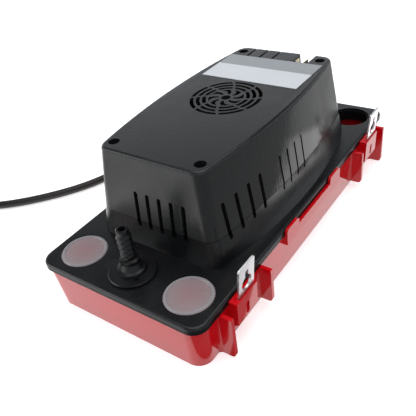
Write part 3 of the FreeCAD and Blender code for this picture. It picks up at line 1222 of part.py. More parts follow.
# Float on its arm, pivot pin, switch rod, switch with its lever, and the safety switch
pivot_y, pivot_z = size("pivot_along"), size("pivot_height")
float_node = body("float")
float_plan = sketch(float_node, "float_plan", offset="Sizes.float_low")
float_mid = size("float_front") + size("float_length") / 2
round_box(float_plan, size("float_width") / 2, size("float_length") / 2, 5.0, y=float_mid)
float_pad = pad(float_node, float_plan, "Sizes.float_height", name="Block")
float_high = size("float_low") + size("float_height")
round_edges(float_node, float_pad, 2.0, at_height(float_high), "TopRound")

arm = body("float_arm")
arm_face = sketch(arm, "arm_face", "YZ_Plane", offset="-Sizes.arm_width / 2")
hub_r = size("pivot_pin") + size("arm_boss")
land_low, land_top = float_high + 0.05, float_high + 2.4
land_front, land_rear = size("float_front") + 5.0, size("float_front") + 5.0 + size("arm_land")
shoulder = size("rod_along") + 2.5
edges(arm_face, [
    arc_through((pivot_y, pivot_z + hub_r), (pivot_y - hub_r, pivot_z), (pivot_y, pivot_z - hub_r)),
    line((pivot_y, pivot_z - hub_r), (land_front, land_low)),
    line((land_front, land_low), (land_rear, land_low)),
    line((land_rear, land_low), (land_rear, land_top)),
    line((land_rear, land_top), (land_front + 1.0, land_top)),
    line((land_front + 1.0, land_top), (shoulder, pivot_z + hub_r)),
    line((shoulder, pivot_z + hub_r), (pivot_y, pivot_z + hub_r)),
])
pad(arm, arm_face, "Sizes.arm_width", name="Arm")
arm_hole = sketch(arm, "arm_hole", "YZ_Plane", offset="Sizes.arm_width")
circle(arm_hole, "Sizes.pivot_pin + Sizes.bearing_play", "Sizes.pivot_along", "Sizes.pivot_height")
pocket(arm, arm_hole, "Sizes.arm_width * 2", name="Hole")

pin = doc.addObject("Part::Cylinder", "float_pin")
pin.Label = "float_pin"
pin.setExpression("Radius", "Sizes.pivot_pin")
pin.setExpression("Height", f"2 * {EAR_OUTER}")
pin.Placement = FreeCAD.Placement(Vector(-value(EAR_OUTER), pivot_y, pivot_z), Rotation(Vector(0, 1, 0), 90))
nodes["float_pin"] = pin

rod = body("switch_rod")
rod_low = pivot_z + hub_r + size("rod_play")
rod_high = size("lever_height") - size("rod_play")
rod_r, tip_r = size("rod_radius"), size("rod_radius") / 2
revolve(rod, [(0, rod_low), (rod_r, rod_low), (rod_r, rod_high - tip_r), (tip_r, rod_high), (0, rod_high)])
rod.Placement.Base = Vector(0, size("rod_along"), 0)

# The float switch lies across the tower: its lever pivots at the left and rests over the rod
switch = body("float_switch")
rod_y, half_width_y = size("rod_along"), size("switch_width") / 2
lever_x, lever_z = -size("lever_arm"), size("lever_height") + size("lever_thick")
case_left = lever_x - size("switch_margin")
case_right = case_left + size("switch_length")
switch_low = size("switch_low")
switch_plan = sketch(switch, "switch_plan", offset="Sizes.switch_low")
case_front, case_rear = rod_y - half_width_y, rod_y + half_width_y
outline(switch_plan, [(case_left, case_front), (case_right, case_front),
                      (case_right, case_rear), (case_left, case_rear)])
pad(switch, switch_plan, "Sizes.switch_height", name="Case")
ear_inner = size("lever_width") / 2 + size("lever_play")
ear_outer = ear_inner + size("switch_ear")
hub = size("lever_hub") + 0.4
for name, plane_y in (("front", rod_y - ear_inner), ("rear", rod_y + ear_outer)):
    ear = sketch(switch, f"switch_{name}_ear", "XZ_Plane", offset=f"{-plane_y}")
    outline(ear, [(lever_x - hub, lever_z - hub), (lever_x + hub, lever_z - hub),
                  (lever_x + hub, switch_low + 1), (lever_x - hub, switch_low + 1)])
    pad(switch, ear, "Sizes.switch_ear", name=f"Ear_{name}")
pin_face = sketch(switch, "switch_pin_face", "XZ_Plane", offset=f"{-(rod_y + ear_inner + 0.5)}")
circle(pin_face, "Sizes.lever_pin", "-Sizes.lever_arm", "Sizes.lever_height + Sizes.lever_thick")
pad(switch, pin_face, f"{2 * ear_inner + 1.0}", name="Pin")
switch_foot = sketch(switch, "switch_foot_plan", offset=f"{deck_top + 0.1}")
post_front, post_rear = case_rear - 0.5, case_rear + size("switch_post")
outline(switch_foot, [(case_left + 5, post_front), (case_right - 5, post_front),
                      (case_right - 5, post_rear), (case_left + 5, post_rear)])
pad(switch, switch_foot, f"{switch_low + 10 - deck_top}", name="Foot")

lever = body("switch_lever")
lever_face = sketch(lever, "lever_face", "XZ_Plane", offset=f"{-rod_y} - Sizes.lever_width / 2")
lever_low, lever_top, lever_end = size("lever_height"), lever_z, size("lever_past")
outline(lever_face, [(lever_x, lever_low), (lever_end, lever_low),
                     (lever_end, lever_top), (lever_x, lever_top)])
pad(lever, lever_face, "Sizes.lever_width", name="Strip")
lever_hub = sketch(lever, "lever_hub", "XZ_Plane", offset=f"{-rod_y} - Sizes.lever_width / 2")
pin_place = ("-Sizes.lever_arm", "Sizes.lever_height + Sizes.lever_thick")
circle(lever_hub, "Sizes.lever_hub", *pin_place)
pad(lever, lever_hub, "Sizes.lever_width", name="Hub")
lever_hole = sketch(lever, "lever_hole", "XZ_Plane", offset=f"{-rod_y} - Sizes.lever_width / 2 - 1")
circle(lever_hole, "Sizes.lever_pin + Sizes.bearing_play", *pin_place)
pocket(lever, lever_hole, "Sizes.lever_width + 2", reverse=True, name="Hole")

safety = body("safety_switch")
safety_plan = sketch(safety, "safety_plan", offset=f"{deck_top + 0.1}")
notch_mid, safety_half = size("notch_middle"), size("safety_width") / 2
safety_rear = size("safety_rear")
safety_front = safety_rear - size("safety_length")
outline(safety_plan, [(notch_mid - safety_half, safety_front), (notch_mid + safety_half, safety_front),
                      (notch_mid + safety_half, safety_rear), (notch_mid - safety_half, safety_rear)])
safety_top = size("tower_top") - size("safety_drop")
pad(safety, safety_plan, f"{safety_top - deck_top}", name="Case")

blades = []
blade_w, blade_t, blade_h = size("terminal_width"), size("terminal_thick"), size("terminal_height")
blade_y = (safety_front + safety_rear - blade_w) / 2
for side in (-1, 1):
    across = notch_mid + side * size("terminal_pitch") / 2 - blade_t / 2
    shape = Part.makeBox(blade_t, blade_w, blade_h, Vector(across, blade_y, safety_top + 0.1))
    eye = Vector(across - 0.5, blade_y + blade_w / 2, safety_top + blade_h - 3.0)
    blades.append(shape.cut(Part.makeCylinder(0.8, blade_t + 1.0, eye, Vector(1, 0, 0))))
feature_node("switch_terminals", Part.makeCompound(blades))

# Supply cord: strain relief, the free run to the floor, the put-away coil and the plug
relief = body("strain_relief")
cord_r = size("cord_radius")
relief_bore = cord_r + size("cord_play")
neck_r, flange_r, tail = size("relief_radius"), size("relief_flange"), size("relief_length")
revolve(relief, [
    (relief_bore, -7.0), (neck_r + 0.9, -7.0), (neck_r + 0.9, -4.8), (neck_r, -4.8), (neck_r, 1.9),
    (flange_r, 1.9), (flange_r, 4.1), (neck_r - 0.4, 5.3), (cord_r + 1.4, tail), (relief_bore, tail)])
relief_y = size("tower_neck_end")
relief_at = Vector(size("cord_across"), relief_y, size("cord_height"))
relief.Placement = FreeCAD.Placement(relief_at, Rotation(Vector(1, 0, 0), -90))

floor_z = cord_r + 0.1
beside_x, beyond_y = -half_width, half_length
ROUTE = [
    (size("cord_across"), relief_y - 6.0, size("cord_height")),
    (size("cord_across"), relief_y + 44.0, size("cord_height")),
    (size("cord_across") - 12.0, beyond_y + 39.0, 32.0),
    (size("cord_across") - 36.0, beyond_y + 72.0, floor_z + 3.0),
    (beside_x - 30.5, beyond_y + 80.0, floor_z),
    (beside_x - 64.5, beyond_y + 51.0, floor_z),
    (beside_x - 77.5, beyond_y + 3.0, floor_z),
    (beside_x - 73.5, beyond_y - 51.0, floor_z),
    (beside_x - 63.5, 38.0, floor_z),
    (beside_x - 72.5, -14.0, floor_z),
    (beside_x - 96.5, -52.0, floor_z),
    (beside_x - 132.5, -87.0, floor_z),
    (beside_x - 174.5, -105.5, floor_z),
]


def cord_path(route):
    """Straight runs joined by tangent arcs, each as large as its two runs allow."""
    points = [Vector(*point) for point in route]
    path, start = [], points[0]
    for index in range(1, len(points) - 1):
        before, corner, after = points[index - 1], points[index], points[index + 1]
        into, out = (corner - before), (after - corner)
        shorter = min(into.Length, out.Length)
        turn = into.getAngle(out)
        radius = 0.45 * shorter / math.tan(turn / 2)
        reach = 0.45 * shorter
        into.normalize()
        out.normalize()
        first, last = corner - into * reach, corner + out * reach
        inward = (out - into).normalize()
        middle = corner + inward * (radius / math.cos(turn / 2) - radius)
        path.append(Part.LineSegment(start, first).toShape())
        path.append(Part.Arc(first, middle, last).toShape())
        print(f"cord turn {index}: {math.degrees(turn):.0f} degrees, radius {radius:.0f} mm")
        start = last
    path.append(Part.LineSegment(start, points[-1]).toShape())
    return Part.Wire(path)


path = cord_path(ROUTE)
start, ahead = Vector(*ROUTE[0]), Vector(*ROUTE[1]) - Vector(*ROUTE[0])
section = Part.Wire(Part.makeCircle(cord_r, start, ahead))
cord_solid = path.makePipeShell([section], True, False)
expected = math.pi * cord_r ** 2 * path.Length
print(f"cord length {path.Length:.0f} mm, volume {cord_solid.Volume:.0f}, expected {expected:.0f}")
feature_node("power_cord", cord_solid)

# The bundle lies beside the cord's last run, and its outermost turn is where the cord comes in
last_run = (Vector(*ROUTE[-1]) - Vector(*ROUTE[-2])).normalize()
bundle = size("coil_mean") + 2 * cord_r
coil_centre = Vector(*ROUTE[-1]) + last_run * 6.0 + Vector(-last_run.y, last_run.x, 0) * bundle
coil_centre.z = 0
coil_body = body("cord_coil")
inner_r, outer_r = size("coil_mean") - size("coil_across"), size("coil_mean") + size("coil_across")
low_z, top_z, ease = size("coil_low"), size("coil_high"), cord_r
revolve(coil_body, [
    (inner_r, low_z + ease), (inner_r + ease, low_z), (outer_r - ease, low_z), (outer_r, low_z + ease),
    (outer_r, top_z - ease), (outer_r - ease, top_z), (inner_r + ease, top_z), (inner_r, top_z - ease)])
coil_body.Placement.Base = coil_centre

tie = body("cord_tie")
tie_face = sketch(tie, "tie_face", "XZ_Plane", offset="-Sizes.tie_width / 2")
coil_mid_z = (low_z + top_z) / 2
band_x, band_z = size("coil_across") + size("tie_play"), (top_z - low_z) / 2 + size("tie_play")
band = size("tie_thick")
round_box(tie_face, band_x + band, band_z + band, 2.2 + band, size("coil_mean"), coil_mid_z)
round_box(tie_face, band_x, band_z, 2.2, size("coil_mean"), coil_mid_z)
pad(tie, tie_face, "Sizes.tie_width", name="Band")
tie.Placement = FreeCAD.Placement(coil_centre, Rotation(Vector(0, 0, 1), 200))

plug_at = coil_centre + Vector(27.0, -bundle, size("plug_half_height") + 0.2)
plug = body("power_plug")
neck, grip_end = size("plug_neck"), size("plug_neck") + size("plug_grip") - 1.0
plug_high = size("plug_half_height")
revolve(plug, [(0, 0), (4.2, 0), (6.2, neck - 3.0), (plug_high - 1.0, neck), (0, neck)], name="Neck")
grip = sketch(plug, "plug_grip", "XY_Plane", offset="Sizes.plug_neck - 1")
round_box(grip, size("plug_half_width"), plug_high, 5.0)
pad(plug, grip, "Sizes.plug_grip", name="Grip")
plug.Placement = FreeCAD.Placement(plug_at, Rotation(Vector(0, 1, 0), 90) * Rotation(Vector(0, 0, 1), 90))
pins = []
pin_w, pin_t, pin_l = size("blade_width"), size("blade_thick"), size("blade_length")
for side in (-1, 1):
    corner = Vector(side * size("blade_pitch") / 2 - pin_t / 2, 2.5 - pin_w / 2, grip_end)
    pins.append(Part.makeBox(pin_t, pin_w, pin_l, corner))
pins.append(Part.makeCylinder(size("ground_radius"), size("ground_length"), Vector(0, -4.8, grip_end)))
feature_node("plug_pins", Part.makeCompound(pins), plug.Placement)

doc.recompute()

os.makedirs("parts", exist_ok=True)
problems = []
for item in doc.Objects:
    if any(word in item.State for word in ("Invalid", "Error")):
        problems.append(f"{item.Name}: {item.State}")
for name, item in nodes.items():
    if item.Shape.isNull() or not item.Shape.isValid() or not item.Shape.Solids:
        problems.append(f"{name}: bad shape")
if problems:
    raise SystemExit("failed objects: " + "; ".join(problems))

for name, item in nodes.items():
    item.Shape.exportStep(f"parts/{name}.step")
    box = item.Shape.BoundBox
    print(f"{name}: {len(item.Shape.Solids)} solids, {item.Shape.Volume / 1000:.1f} cm3, "
          f"x {box.XMin:.1f}..{box.XMax:.1f} y {box.YMin:.1f}..{box.YMax:.1f} "
          f"z {box.ZMin:.1f}..{box.ZMax:.1f}")
print(f"{len(nodes)} nodes")
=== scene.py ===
# %% [markdown]
# A condensate pump: a shallow red tank, a charcoal lid with a motor tower, white inlet caps,
# a barbed outlet, steel hangers and a supply cord. The solid parts arrive ready-made from the
# frame, so this lesson is about what Blender adds: finishes, light, the cord and small detail.

# %% Load the frame
import json
import math
import bpy
from mathutils import Matrix, Quaternion, Vector


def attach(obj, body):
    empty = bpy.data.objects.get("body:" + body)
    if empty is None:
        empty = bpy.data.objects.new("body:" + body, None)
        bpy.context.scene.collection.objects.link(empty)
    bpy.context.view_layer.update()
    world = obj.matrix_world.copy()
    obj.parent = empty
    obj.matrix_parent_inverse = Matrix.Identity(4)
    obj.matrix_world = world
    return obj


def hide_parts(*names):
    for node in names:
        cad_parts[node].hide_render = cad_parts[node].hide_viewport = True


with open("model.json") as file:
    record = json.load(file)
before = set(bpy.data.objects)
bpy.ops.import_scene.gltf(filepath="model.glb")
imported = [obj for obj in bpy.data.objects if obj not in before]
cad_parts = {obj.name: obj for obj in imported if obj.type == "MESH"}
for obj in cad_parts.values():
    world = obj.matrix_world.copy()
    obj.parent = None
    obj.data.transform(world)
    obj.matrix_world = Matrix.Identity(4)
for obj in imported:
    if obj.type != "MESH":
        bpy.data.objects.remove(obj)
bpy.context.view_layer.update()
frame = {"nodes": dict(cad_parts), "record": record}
nodes = frame["nodes"]
scene = bpy.context.scene
MM = 0.001


# %% [markdown]
# The camera comes first, because the cord has to leave its view at the right place. It stands
# front right of the pump, looks down at 36 degrees and is rolled a little, as a hand-held
# camera often is. A Track To constraint could aim it, but would keep it level, so its turn is
# worked out from the line of sight and the roll. A focal length of 46 mm on a 36 mm sensor
# gives the mild perspective.

# %% Camera
SENSOR_WIDTH = 36.0
FOCAL_LENGTH = 45.93
CAMERA_AT = (196.66, -276.42, 257.37)
LOOK_ALONG = (-0.51229, 0.62395, -0.59013)
ROLL_DEGREES = -8.475
camera_data = bpy.data.cameras.new("camera")
camera = bpy.data.objects.new("camera", camera_data)
scene.collection.objects.link(camera)
camera_data.sensor_width = SENSOR_WIDTH
camera_data.lens = FOCAL_LENGTH
camera.location = Vector(CAMERA_AT) * MM
camera.rotation_mode = "QUATERNION"
roll = Quaternion((0, 0, 1), math.radians(ROLL_DEGREES))
camera.rotation_quaternion = Vector(LOOK_ALONG).to_track_quat("-Z", "Y") @ roll
scene.camera = camera
print("camera distance", round(camera.location.length, 3), "m")

# %% [markdown]
# Floor, world and finishes are all node trees. They could be drawn by hand in the Shader
# Editor, but with a few small helpers a line of script says what feeds what. Each helper
# takes the tree first. A source is either a plain value or another node's output.

# %% Helpers for node trees
def feed(tree, socket, source):
    if isinstance(source, bpy.types.NodeSocket):
        tree.links.new(source, socket)
    else:
        socket.default_value = source


def calculate(tree, operation, *sources):
    made = tree.nodes.new("ShaderNodeMath")
    made.operation = operation
    for socket, source in zip(made.inputs, sources):
        feed(tree, socket, source)
    return made.outputs[0]


def vector_maths(tree, operation, *sources):
    made = tree.nodes.new("ShaderNodeVectorMath")
    made.operation = operation
    for socket, source in zip(made.inputs, sources):
        feed(tree, socket, source)
    return made.outputs


def spread(tree, source, low, high, from_low=0.3, from_high=0.7, smooth=False):
    """Carries the range from_low..from_high over to low..high, held at both ends."""
    made = tree.nodes.new("ShaderNodeMapRange")
    if smooth:
        made.interpolation_type = "SMOOTHSTEP"
    limits = {"From Min": from_low, "From Max": from_high, "To Min": low, "To Max": high}
    for name, number in limits.items():
        made.inputs[name].default_value = number
    feed(tree, made.inputs["Value"], source)
    return made.outputs["Result"]


def mix(tree, factor, first, second, kind="FLOAT"):
    made = tree.nodes.new("ShaderNodeMix")
    made.data_type = kind
    for name, source in (("Factor", factor), ("A", first), ("B", second)):
        feed(tree, made.inputs[name], source)
    return made.outputs["Result"]


def where(tree, kind="Object"):
    return tree.nodes.new("ShaderNodeTexCoord").outputs[kind]


def axes(tree, kind="Object"):
    made = tree.nodes.new("ShaderNodeSeparateXYZ")
    feed(tree, made.inputs[0], where(tree, kind))
    return made.outputs["X"], made.outputs["Y"], made.outputs["Z"]


print("helpers ready")

# %% [markdown]
# The pump stands on a plain white sweep. Lit only by the lamps, such a floor looks grey to
# the camera, and more lamps would bleach the pump. So what the camera sees is lifted by a glow
# that grows with the distance, while the diffuse part still catches the pump's soft shadow.
# Mirror-like rays see another floor: bright on the left, dark beyond a sharp slanting line on
# the right, dimmer far behind, and of darker paper. The tower's bowed side mirrors that line,
# which draws the edge of its satin patch. Lengths are metres here, as in every node tree.

# %% Floor
FLOOR_HALF = 6.0
FLOOR_DROP = 0.0002
PAPER, PAPER_MIRRORED = 0.8, 0.48
GLOW_NEAR, GLOW_FAR = 0.6, 1.0
NEAR, FAR = 0.4, 2.2
LEFT_GLOW, RIGHT_GLOW = 1.44, 0.02
LINE_SLANT = -0.35
LINE_FROM, LINE_TO = 0.109, 0.111
BEHIND_SLANT = 0.67
BEHIND_FROM, BEHIND_TO = 0.258, 0.284
BEHIND_SHARE = 0.3
floor_mesh = bpy.data.meshes.new("floor")
square = [(x * FLOOR_HALF, y * FLOOR_HALF, 0) for x, y in ((-1, -1), (1, -1), (1, 1), (-1, 1))]
floor_mesh.from_pydata(square, [], [(0, 1, 2, 3)])
floor = bpy.data.objects.new("floor", floor_mesh)
scene.collection.objects.link(floor)
floor.location.z = -FLOOR_DROP
floor_material = bpy.data.materials.new("white_sweep")
floor_material.use_nodes = True
tree = floor_material.node_tree
tree.nodes.clear()
ray = tree.nodes.new("ShaderNodeLightPath").outputs
x, y, _ = axes(tree)
paper = tree.nodes.new("ShaderNodeBsdfDiffuse")
feed(tree, paper.inputs["Color"], mix(tree, ray["Is Glossy Ray"], PAPER, PAPER_MIRRORED))
rightwards = calculate(tree, "MULTIPLY_ADD", y, LINE_SLANT, x)
sides = spread(tree, rightwards, LEFT_GLOW, RIGHT_GLOW, LINE_FROM, LINE_TO, smooth=True)
backwards = calculate(tree, "MULTIPLY_ADD", x, BEHIND_SLANT, y)
behind = spread(tree, backwards, 1.0, BEHIND_SHARE, BEHIND_FROM, BEHIND_TO, smooth=True)
mirrored = calculate(tree, "MULTIPLY", sides, behind)
distance = vector_maths(tree, "LENGTH", where(tree))["Value"]
shown = spread(tree, distance, GLOW_NEAR, GLOW_FAR, NEAR, FAR)
level = mix(tree, ray["Is Camera Ray"], mirrored, shown)
seen = calculate(tree, "MAXIMUM", ray["Is Camera Ray"], ray["Is Glossy Ray"])
seen = calculate(tree, "MAXIMUM", seen, ray["Is Transmission Ray"])
glow = tree.nodes.new("ShaderNodeEmission")
feed(tree, glow.inputs["Color"], (1, 1, 1, 1))
feed(tree, glow.inputs["Strength"], calculate(tree, "MULTIPLY", seen, level))
both = tree.nodes.new("ShaderNodeAddShader")
feed(tree, both.inputs[0], paper.outputs[0])
feed(tree, both.inputs[1], glow.outputs[0])
out = tree.nodes.new("ShaderNodeOutputMaterial")
feed(tree, out.inputs["Surface"], both.outputs[0])
floor_mesh.materials.append(floor_material)
print("floor", 2 * FLOOR_HALF, "m square")

# %% [markdown]
# The light is one large overhead softbox, a weaker one from the left and a faint one from the
# right in front. A single sun would be simpler, but its shadows are hard, and large lamps
# give the plastic broad, soft highlights. The world is white to the camera and a mild grey to
# rays that scatter. To mirror-like rays it is bright near the horizon and dark overhead, which
# keeps flat tops deep in colour.

# %% Light
SOFTBOXES = {
    "overhead": dict(place=(0.1, 0.1, 1.3), target=(0, 0, 0), side=1.4, power=13),
    "left_fill": dict(place=(-1.0, -0.9, 0.7), target=(0, 0, 0.05), side=0.8, power=5),
    "right_front": dict(place=(1.0, -0.8, 0.9), target=(0, 0, 0.05), side=0.7, power=1.5),
}
ROOM_COLOUR = (0.9, 0.95, 1, 1)
ROOM_LEVEL = 0.35
SKY_LOW, SKY_HIGH = 0.36, 0.62
SKY_BRIGHT, SKY_DARK = 1.0, 0.12


def softbox(name, place, target, side, power):
    data = bpy.data.lights.new(name, "AREA")
    data.shape = "RECTANGLE"
    data.size = side
    data.size_y = side
    data.energy = power
    lamp = bpy.data.objects.new(name, data)
    lamp.location = place
    lamp.rotation_mode = "QUATERNION"
    lamp.rotation_quaternion = (Vector(target) - Vector(place)).to_track_quat("-Z", "Y")
    scene.collection.objects.link(lamp)


for name, setting in SOFTBOXES.items():
    softbox(name, **setting)

world = bpy.data.worlds.new("studio")
scene.world = world
world.use_nodes = True
tree = world.node_tree
tree.nodes.clear()
ray = tree.nodes.new("ShaderNodeLightPath").outputs
_, _, upwards = axes(tree, "Generated")
sky = spread(tree, upwards, SKY_BRIGHT, SKY_DARK, SKY_LOW, SKY_HIGH)
white = tree.nodes.new("ShaderNodeBackground")
feed(tree, white.inputs["Color"], (1, 1, 1, 1))
room = tree.nodes.new("ShaderNodeBackground")
feed(tree, room.inputs["Color"], ROOM_COLOUR)
feed(tree, room.inputs["Strength"], mix(tree, ray["Is Glossy Ray"], ROOM_LEVEL, sky))
choose = tree.nodes.new("ShaderNodeMixShader")
feed(tree, choose.inputs[0], ray["Is Camera Ray"])
feed(tree, choose.inputs[1], room.outputs[0])
feed(tree, choose.inputs[2], white.outputs[0])
out = tree.nodes.new("ShaderNodeOutputWorld")
feed(tree, out.inputs["Surface"], choose.outputs[0])
scene.view_settings.view_transform = "Standard"
print(len(SOFTBOXES), "softboxes")

# %% [markdown]
# Most of the pump is moulded plastic. Real mouldings are never one flat colour: the grain of
# the mould breaks up highlights, the gloss drifts from place to place, and handling lightens
# the surface a little. A picture of plastic could be laid on, but noise needs no file and has
# no seam. One function makes the finish, and each plastic gives it its own colour, roughness
# and grain. All patterns read Object coordinates, in metres, so they stay on the piece.

# %% A moulded plastic
CLOUD_SCALE = 22.0
PATCH_SCALE = 60.0
GRAIN_SCALE = 2200.0
GRAIN_DEPTH = 0.00004
GRAIN_STRENGTH = 0.35
MOULD_DRIFT = 0.06
MOULD_SHADES = (0.93, 1.07)


def new_material(name):
    made = bpy.data.materials.new(name)
    made.use_nodes = True
    tree = made.node_tree
    tree.nodes.clear()
    surface = tree.nodes.new("ShaderNodeBsdfPrincipled")
    output = tree.nodes.new("ShaderNodeOutputMaterial")
    feed(tree, output.inputs["Surface"], surface.outputs[0])
    return made, tree, surface


def noise(tree, scale, detail=2.0, rough=0.5, stretch=None):
    place = where(tree)
    if stretch:
        mapping = tree.nodes.new("ShaderNodeMapping")
        mapping.inputs["Scale"].default_value = stretch
        feed(tree, mapping.inputs["Vector"], place)
        place = mapping.outputs[0]
    made = tree.nodes.new("ShaderNodeTexNoise")
    settings = {"Vector": place, "Scale": scale, "Detail": detail, "Roughness": rough}
    for name, source in settings.items():
        feed(tree, made.inputs[name], source)
    return made.outputs["Fac"]


def mottled(tree, pattern, colour, shades):
    """A colour that drifts with a pattern between a darker and a lighter shade of itself."""
    share = spread(tree, pattern, 0.0, 1.0)
    ends = [(*(min(1.0, part * shade) for part in colour), 1) for shade in shades]
    return mix(tree, share, *ends, "RGBA")


def drifting(tree, pattern, middle, drift):
    return spread(tree, pattern, middle - drift, middle + drift)


def bump(tree, surface, height, strength, depth):
    made = tree.nodes.new("ShaderNodeBump")
    for name, source in {"Strength": strength, "Distance": depth, "Height": height}.items():
        feed(tree, made.inputs[name], source)
    feed(tree, surface.inputs["Normal"], made.outputs[0])


def moulded(name, colour, roughness, grain=GRAIN_SCALE, depth=GRAIN_DEPTH, ior=1.5, stretch=None):
    made, tree, surface = new_material(name)
    cloud = noise(tree, CLOUD_SCALE, detail=3.0)
    patches = noise(tree, PATCH_SCALE, detail=4.0)
    feed(tree, surface.inputs["Base Color"], mottled(tree, cloud, colour, MOULD_SHADES))
    feed(tree, surface.inputs["Roughness"], drifting(tree, patches, roughness, MOULD_DRIFT))
    feed(tree, surface.inputs["IOR"], ior)
    bump(tree, surface, noise(tree, grain, stretch=stretch), GRAIN_STRENGTH, depth)
    return made


print("finish for mouldings ready")

# %% Plastics of the pump
PLASTICS = {
    "tank_plastic": dict(colour=(0.63, 0.004, 0.009), roughness=0.34, grain=1500.0, depth=0.00001),
    "lid_plastic": dict(colour=(0.007, 0.0073, 0.008), roughness=0.27, ior=1.4),
    "cover_plastic": dict(colour=(0.014, 0.0145, 0.015), roughness=0.3, grain=700.0,
                          depth=0.00022, ior=1.38, stretch=(1, 1, 0.12)),
    "fitting_plastic": dict(colour=(0.006, 0.0063, 0.007), roughness=0.3, ior=1.36),
    "valve_plastic": dict(colour=(0.02, 0.02, 0.021), roughness=0.4),
    "fan_plastic": dict(colour=(0.012, 0.012, 0.013), roughness=0.4),
    "pump_plastic": dict(colour=(0.025, 0.025, 0.027), roughness=0.4),
    "impeller_plastic": dict(colour=(0.05, 0.05, 0.055), roughness=0.35),
    "tube_vinyl": dict(colour=(0.6, 0.6, 0.55), roughness=0.2),
    "float_foam": dict(colour=(0.6, 0.6, 0.58), roughness=0.5),
    "arm_plastic": dict(colour=(0.65, 0.65, 0.62), roughness=0.4),
    "switch_case": dict(colour=(0.02, 0.02, 0.022), roughness=0.35),
    "cord_vinyl": dict(colour=(0.012, 0.010, 0.009), roughness=0.42, grain=900.0, ior=1.4),
    "tie_nylon": dict(colour=(0.015, 0.015, 0.015), roughness=0.35),
    "plug_vinyl": dict(colour=(0.022, 0.018, 0.015), roughness=0.4),
    "seal_rubber": dict(colour=(0.012, 0.012, 0.012), roughness=0.6),
}
finishes = {name: moulded(name, **look) for name, look in PLASTICS.items()}
print(len(finishes), "plastics")

# %% [markdown]
# Three of these mouldings get a touch more. The tower's long sides are smoother than its ends
# and top, except at the rear, so they mirror the floor more clearly. The lid's turned-down
# edge is duller than its deck. Splitting the piece and giving each part its own material would
# do too, but a change worked out from the place on the piece leaves it whole. The tank is
# polished, and a clear coat over its red gives it the wet shine.

# %% Sides of the cover, edge of the lid, polish of the tank
SIDE_FROM, SIDE_TO = 0.041, 0.046
SIDE_SHARE = 0.16
REAR_FROM, REAR_TO = 0.036, 0.054
REAR_SHARE = 0.9
EDGE_LOW, EDGE_HIGH = 0.0345, 0.0362
EDGE_SPECULAR, DECK_SPECULAR = 0.08, 0.5
COAT_ROUGHNESS, COAT_IOR = 0.05, 1.35

tree = finishes["cover_plastic"].node_tree
roughness = tree.nodes["Principled BSDF"].inputs["Roughness"]
x, y, _ = axes(tree)
sideways = spread(tree, calculate(tree, "ABSOLUTE", x), 1.0, SIDE_SHARE, SIDE_FROM, SIDE_TO)
rearward = spread(tree, y, 0.0, REAR_SHARE, REAR_FROM, REAR_TO)
share = calculate(tree, "MAXIMUM", sideways, rearward)
feed(tree, roughness, calculate(tree, "MULTIPLY", roughness.links[0].from_socket, share))

tree = finishes["lid_plastic"].node_tree
_, _, upwards = axes(tree)
specular = spread(tree, upwards, EDGE_SPECULAR, DECK_SPECULAR, EDGE_LOW, EDGE_HIGH)
feed(tree, tree.nodes["Principled BSDF"].inputs["Specular IOR Level"], specular)

polish = finishes["tank_plastic"].node_tree.nodes["Principled BSDF"].inputs
polish["Specular IOR Level"].default_value = 0.0
polish["Coat Weight"].default_value = 1.0
polish["Coat Roughness"].default_value = COAT_ROUGHNESS
polish["Coat IOR"].default_value = COAT_IOR
print("cover, lid and tank refined")

# %% [markdown]
# Two finishes have zones. The inlet caps are thin, so the red below shows through in the
# middle of each, and their raised rim is greyer. The label is a film with two plain zones, a
# white one and a silver one. Light could be let through the caps for real, but a tint that
# fades from the middle looks the same and renders fast.

# %% Caps and label
THIN_CLOUD_SCALE, THIN_GRAIN_SCALE = 30.0, 1800.0
THIN_SHADES = (0.96, 1.03)
THIN_DRIFT = 0.05
RIM_FROM, RIM_TO = 0.0373, 0.0375
BAND_FROM, BAND_TO = 0.0518, 0.0522
CAP_MIDDLE = (0.0436, 0.1176, 0.0372)
SHOWN_RED = (0.32, 0.13, 0.14, 1)
SHOWN_SHARE = 0.35
SHOWN_FROM, SHOWN_TO = 0.003, 0.0125


def zoned(name, colours, axis, low, high, roughness):
    """A finish that goes from a first to a second colour between two places on an axis."""
    made, tree, surface = new_material(name)
    cloud = noise(tree, THIN_CLOUD_SCALE, detail=3.0)
    first, second = (mottled(tree, cloud, colour, THIN_SHADES) for colour in colours)
    share = spread(tree, axes(tree)["XYZ".index(axis)], 0.0, 1.0, low, high)
    feed(tree, surface.inputs["Base Color"], mix(tree, share, first, second, "RGBA"))
    feed(tree, surface.inputs["Roughness"], drifting(tree, cloud, roughness, THIN_DRIFT))
    bump(tree, surface, noise(tree, THIN_GRAIN_SCALE), strength=0.2, depth=0.00001)
    return made


cap_colours = (0.29, 0.225, 0.235), (0.29, 0.275, 0.285)
finishes["cap_plastic"] = zoned("cap_plastic", cap_colours, "Z", RIM_FROM, RIM_TO, 0.3)
film_colours = (0.61, 0.63, 0.66), (0.275, 0.29, 0.31)
finishes["label_film"] = zoned("label_film", film_colours, "Y", BAND_FROM, BAND_TO, 0.32)

tree = finishes["cap_plastic"].node_tree
colour = tree.nodes["Principled BSDF"].inputs["Base Color"]
either_side = vector_maths(tree, "ABSOLUTE", where(tree))["Vector"]
from_middle = vector_maths(tree, "DISTANCE", either_side, CAP_MIDDLE)["Value"]
near = spread(tree, from_middle, SHOWN_SHARE, 0.0, SHOWN_FROM, SHOWN_TO)
feed(tree, colour, mix(tree, near, colour.links[0].from_socket, SHOWN_RED, "RGBA"))
print("caps and label ready")

# %% [markdown]
# Metals differ in how they were worked. Galvanised sheet is mottled, the stack shows its thin
# sheets, turned parts carry fine rings, a drawn bar has lines along its length, and the coil
# shows the lay of its wire. All of that could be cut into the meshes, but it is so fine that
# noise, stretched along the right axis, is enough. One function makes every metal.

